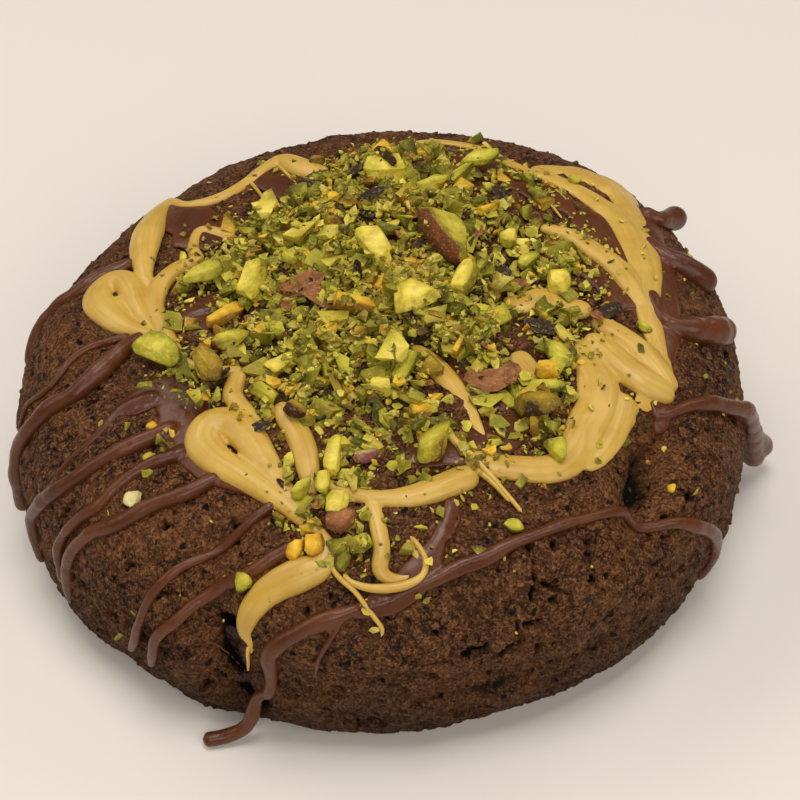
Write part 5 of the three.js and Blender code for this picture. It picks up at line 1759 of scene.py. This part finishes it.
    def _laid_piece(self, spec: NutPiece, grain: float, seed: int) -> Shape:
        """A large piece where it lies."""
        lift = spec.lift
        radius = (spec.size[0] + spec.size[1]) / 4
        if lift is None:
            inside = float(self._share_out(np.array([spec.u]), np.array([spec.v]))[0]) < 0.95
            lift = self.pile.rest(spec.u, spec.v, radius * 0.8) + spec.size[2] * 0.3 + self.bedding * inside
        self.pile.add(spec.u, spec.v, radius * 0.8, lift + spec.size[2] * 0.25)
        run = np.array([math.cos(math.radians(spec.yaw)), math.sin(math.radians(spec.yaw))]) * spec.size[0] * 0.26
        self.taken.cover([(*(end * run + [spec.u, spec.v]), spec.size[1] * 0.95) for end in (-1, 1)], 1.0)
        point, up = self.form.spot(spec.u, spec.v, lift)
        return self.knife.piece(spec, grain, seed).moved(spec.turn(up), point)

    def build_large(self) -> list[bpy.types.Object]:
        """The largest pieces, each for its own node."""
        shapes = [self._laid_piece(spec, 0.17, 100 + i) for i, spec in enumerate(self.large)]
        return [settle(shape.object(f"cut_pistachio_{i:02d}"), self.nut, [f"pistachio_piece_{i:02d}"])
                for i, shape in enumerate(shapes, 1)]

    def build_medium(self) -> bpy.types.Object:
        """The middling pieces, where the eye finds them."""
        shapes = [self._laid_piece(spec, 0.19, 200 + i) for i, spec in enumerate(self.medium)]
        return settle(joined(shapes).object("middling_pistachios"), self.nut)

    def _scatter(self, name: str, shapes: Sequence[Shape], rows: np.ndarray, sizes: np.ndarray, tilt: float,
                 seed: int, sink: float) -> bpy.types.Object:
        """Drop many pieces on the pile.

        Args:
            name: Name of the result.
            shapes: The kinds of piece, each about 1 mm in size.
            rows: Places, as rows of u and v.
            sizes: Size of each piece.
            tilt: How far they tumble, in degrees.
            seed: Seed of the draws.
            sink: How deep they sit in what is under them, as a share of their size.

        Returns:
            The scattered pieces as one object.
        """
        random = np.random.default_rng(seed)
        lifts = np.empty(len(rows))
        covered = self.taken.at(rows[:, 0], rows[:, 1]) > 0.3
        for i, ((u, v), size) in enumerate(zip(rows, sizes)):
            radius = size * 0.42
            pile = self.bed if covered[i] else self.pile
            lifts[i] = pile.rest(u, v, radius) + size * (0.5 - sink) * 0.55
            pile.add(u, v, radius, lifts[i] + size * 0.2)
        point, up = self.form.place(rows[:, 0], rows[:, 1], lifts)
        turns = np.empty((len(rows), 3))
        for i, normal in enumerate(up):
            stand = Vector((0, 0, 1)).rotation_difference(Vector(normal))
            spin = Quaternion((0, 0, 1), random.uniform(0, 2 * math.pi))
            roll = Quaternion(Vector(random.normal(size=3)).normalized(), math.radians(random.normal(0, tilt)))
            turns[i] = (stand @ roll @ spin).to_euler()
        return self.trees.sow(name, shapes, point, turns, sizes, (self.slimmest, self.fullest), random, self.nut)

    def build_heap(self) -> list[bpy.types.Object]:
        """Chips, crumbs, powder, skins and flakes, from the largest to the smallest."""
        random = np.random.default_rng(41)
        tones = [self.mix[i % len(self.mix)] for i in range(self.kinds)]
        chips = [self.knife.chip(random, tone, 5, True) for tone in tones]
        grits = [self.knife.chip(random, tone, 4, False) for tone in tones[:self.kinds // 2]]
        grits += [self.knife.sliver(random, tone) for tone in tones]
        made = [self._scatter("nut_chips", chips, self._places(random, self.chips, 0.78, 0.97),
                              random.gamma(6.0, 0.44, self.chips).clip(1.8, 3.6), 38, 51, 0.1)]
        made.append(self._build_flakes(random))
        made.append(self._scatter("nut_crumbs", grits, self._places(random, self.crumbs, 0.84, 0.92),
                                  random.gamma(4.0, 0.36, self.crumbs).clip(0.6, 3.2), 46, 52, 0.1))
        made.append(self._scatter("nut_powder", grits, self._places(random, self.powder, 0.94, 0.72),
                                  random.gamma(4.0, 0.13, self.powder).clip(0.2, 1.1), 90, 53, 0.0))
        made.append(self._build_strays(random, grits))
        pieces = [settle(made[0], self.nut, ["chopped_pistachios"], smooth=False)]
        return pieces + [settle(obj, self.nut, smooth=False) for obj in made[1:]]

    def _build_flakes(self, random: np.random.Generator) -> bpy.types.Object:
        """Skins and dark flakes: the large ones where they lie, and small ones among the crumbs."""
        shapes = []
        small = [(u, v, random.uniform(1.6, 3.6), random.uniform(0, 180),
                  Tone.CHAR if random.random() < 0.2 else Tone.SKIN)
                 for u, v in self._places(random, self.small_flakes, 0.8, 0.9)
                 if self.taken.at(np.array([u]), np.array([v]))[0] < 0.3]
        for u, v, size, yaw, tone in [*self.flakes, *small]:
            flake = self.knife.flake(random, size, tone, random.uniform(0.2, 0.9))
            lift = self.pile.rest(u, v, size * 0.3) + 0.35 + 0.09 * size
            self.pile.add(u, v, size * 0.3, lift + 0.1)
            if size > 4.0:
                self.taken.cover([(u - 0.2, v, size * 0.8), (u + 0.2, v, size * 0.8)], 1.0)
            point, up = self.form.spot(u, v, lift)
            lean = float(random.normal(0, 16))
            shapes.append(flake.moved(NutPiece(u, v, (1, 1, 1), yaw, lean, Cut.HALF, tone).turn(up), point))
        return joined(shapes).object("nut_skins")

    def _build_strays(self, random: np.random.Generator, grits: Sequence[Shape]) -> bpy.types.Object:
        """Single crumbs that fell on the crust, the drizzle and the cream round the heap."""
        places = np.vstack([random.normal((u, v), spread, (count, 2)) for u, v, spread, count in self.strays])
        sizes = random.gamma(4.0, 0.19, len(places)).clip(0.35, 1.7)
        return self._scatter("stray_crumbs", grits, places, sizes, 60, 54, 0.05)


# ------------------------------------------------------------------ loose relief on the crust


@dataclass
class CrustCrumbs:
    """Grains of baked crumb that stand proud of the crust, and the filling in its split."""

    form: CrustForm
    cookie: BakedCookie
    crust: BakedCrust
    filling: MoltenFilling
    trees: GrowthTrees
    count: int = 4200
    kinds: int = 8
    first: float = 24.0
    sunk: float = -0.5
    blobs: tuple[tuple[Route, float], ...] = (
        (((-24.6, -61, 2.6), (-26, -64.6, 4.8), (-27, -69, 6), (-27, -74, 6), (-26, -77, 4)), 1.0),
        (((-23.2, -63, 2), (-23.6, -67, 3), (-24.6, -72, 3.4), (-25, -77, 3)), 0.8),
        (((-30, -71, 1.6), (-28, -73, 2.4), (-24, -75.6, 3)), 1.0),
    )

    def build(self) -> list[bpy.types.Object]:
        """Scatter the grains and fill the split."""
        random = np.random.default_rng(77)
        s = np.sqrt(random.uniform(self.first**2, (self.form.skirt - 2) ** 2, self.count))
        angle = random.uniform(-math.pi, math.pi, self.count)
        u, v = s * np.cos(angle), s * np.sin(angle)
        point, up = self.form.place(u, v)
        fine = self.cookie.fine_relief(point, u, v) * smooth_step(self.form.skirt - s, 0.0, SKIN_FADE)
        point += up * (fine - 0.16)[:, None]
        sizes = random.gamma(5.0, 0.12, self.count).clip(0.25, 1.1)
        point[:, 2] = np.maximum(point[:, 2], sizes * 0.55)
        grains = [self._grain(random) for _ in range(self.kinds)]
        turns = random.uniform(-3, 3, (self.count, 3))
        made = self.trees.sow("crust_crumbs", grains, point, turns, sizes, (0.7, 1.2), random, self.crust)
        return [settle(made, self.crust), self._build_filling()]

    @staticmethod
    def _grain(random: np.random.Generator) -> Shape:
        """One lumpy grain about 1 mm wide."""
        bm = bmesh.new()
        bmesh.ops.create_icosphere(bm, subdivisions=1, radius=0.5)
        points, faces = taken_off(bm)
        return Shape(points * random.uniform(0.75, 1.2, (len(points), 1)), faces)

    def _build_filling(self) -> bpy.types.Object:
        """Dark filling that welled up in the split at the front left."""
        lines = [laid(self.form, route, 0.6, self.sunk) for route, _ in self.blobs]
        blobs = [swept(line.swelled(Noise(90 + i), 0.3, 3.0), strip(rise), 20)
                 for i, (line, (_, rise)) in enumerate(zip(lines, self.blobs))]
        pool = fused(joined(blobs).object("blobs"), "molten_filling", 0.35, 4)
        points = corner_places(pool.data)
        normals = np.array([vert.normal for vert in pool.data.vertices])
        folds = 0.22 * Noise(95).soft(points * [1.0, 1.0, 0.5], 1.1)
        points += normals * folds[:, None]
        points[:, 2] = np.maximum(points[:, 2], 0.05)
        pool.data.vertices.foreach_set("co", points.astype(np.float32).ravel())
        return settle(pool, self.filling)


# ------------------------------------------------------------------ stage


@dataclass(frozen=True)
class Stage:
    """Floor, lights and camera."""

    floor_half: float = 1.6
    floor_drop: float = 0.00002
    target: tuple[float, float, float] = (0.00203, -0.0001, 0.014)
    distance: float = 0.28857
    elevation: float = 43.0
    field_of_view: float = 26.0
    sensor: float = 36.0
    surround: tuple[float, ...] = (1.0, 0.98, 0.96, 1.0)
    surround_strength: float = 0.09
    lamp_colour: tuple[float, float, float] = (1.0, 0.96, 0.915)
    lamps: tuple[tuple[str, tuple[float, float, float], float, float], ...] = (
        ("over_light", (0, 0, 1.15), 0.6, 6.4), ("left_light", (-0.9, 0, 0.7), 0.7, 2.2),
        ("front_right_light", (0.7, -0.7, 0.7), 0.7, 3.6), ("front_light", (0, -0.95, 0.7), 0.7, 3.9),
        ("back_left_light", (-0.6, 0.6, 0.9), 0.6, 2.9), ("back_right_light", (0.6, 0.6, 0.9), 0.6, 2.0),
    )

    def build(self) -> None:
        """Set the floor, the lights and the camera."""
        self._floor()
        self._lights()
        self._camera()

    def _floor(self) -> None:
        """A plain pale floor just under the cookie."""
        half = self.floor_half
        mesh = bpy.data.meshes.new("floor")
        mesh.from_pydata([(-half, -half, 0), (half, -half, 0), (half, half, 0), (-half, half, 0)], [], [(0, 1, 2, 3)])
        mesh.materials.append(PaleFloor().material)
        floor = in_scene("floor", mesh)
        floor.location.z = -self.floor_drop

    def _lights(self) -> None:
        """Soft round lights, the strongest above and the others all round, and a faint surround."""
        world = bpy.data.worlds.new("surround")
        bpy.context.scene.world = world
        world.use_nodes = True
        background = world.node_tree.nodes["Background"]
        background.inputs[0].default_value = self.surround
        background.inputs[1].default_value = self.surround_strength
        for name, place, size, power in self.lamps:
            data = bpy.data.lights.new(name, "AREA")
            data.shape = "DISK"
            data.size = size
            data.energy = power
            data.color = self.lamp_colour
            lamp = in_scene(name, data)
            lamp.location = place
            lamp.rotation_euler = (-Vector(place)).to_track_quat("-Z", "Y").to_euler()

    def _camera(self) -> None:
        """The camera at the photograph's angle."""
        data = bpy.data.cameras.new("camera")
        data.sensor_width = self.sensor
        data.lens = self.sensor / 2 / math.tan(math.radians(self.field_of_view / 2))
        data.clip_start = 0.01
        camera = in_scene("camera", data)
        rise = math.radians(self.elevation)
        camera.location = Vector(self.target) + Vector((0, -math.cos(rise), math.sin(rise))) * self.distance
        camera.rotation_euler = Euler((math.pi / 2 - rise, 0, 0))
        bpy.context.scene.camera = camera


def main() -> None:
    """Build the cookie's pieces in order and report each."""
    logging.basicConfig(level=logging.INFO, format="%(message)s")
    bpy.context.scene.view_settings.view_transform = "Standard"
    form, trees = CrustForm(), GrowthTrees()
    crust, chocolate, cream, nut = BakedCrust(), SetChocolate(), SoftCream(), CutNut()
    Stage().build()
    cookie = BakedCookie(form, crust)
    cookie.build()
    CrustCrumbs(form, cookie, crust, MoltenFilling(), trees).build()
    drizzle = ChocolateDrizzle(form, chocolate, trees)
    drizzle.build()
    ribbon = PistachioCream(form, cream, trees)
    ribbon.build()
    nuts = ChoppedPistachios(form, nut, trees, ribbon.rises(), (*drizzle.strands, *drizzle.smears))
    nuts.build_bed()
    nuts.build_large()
    nuts.build_medium()
    nuts.build_heap()


if __name__ == "__main__":
    main()
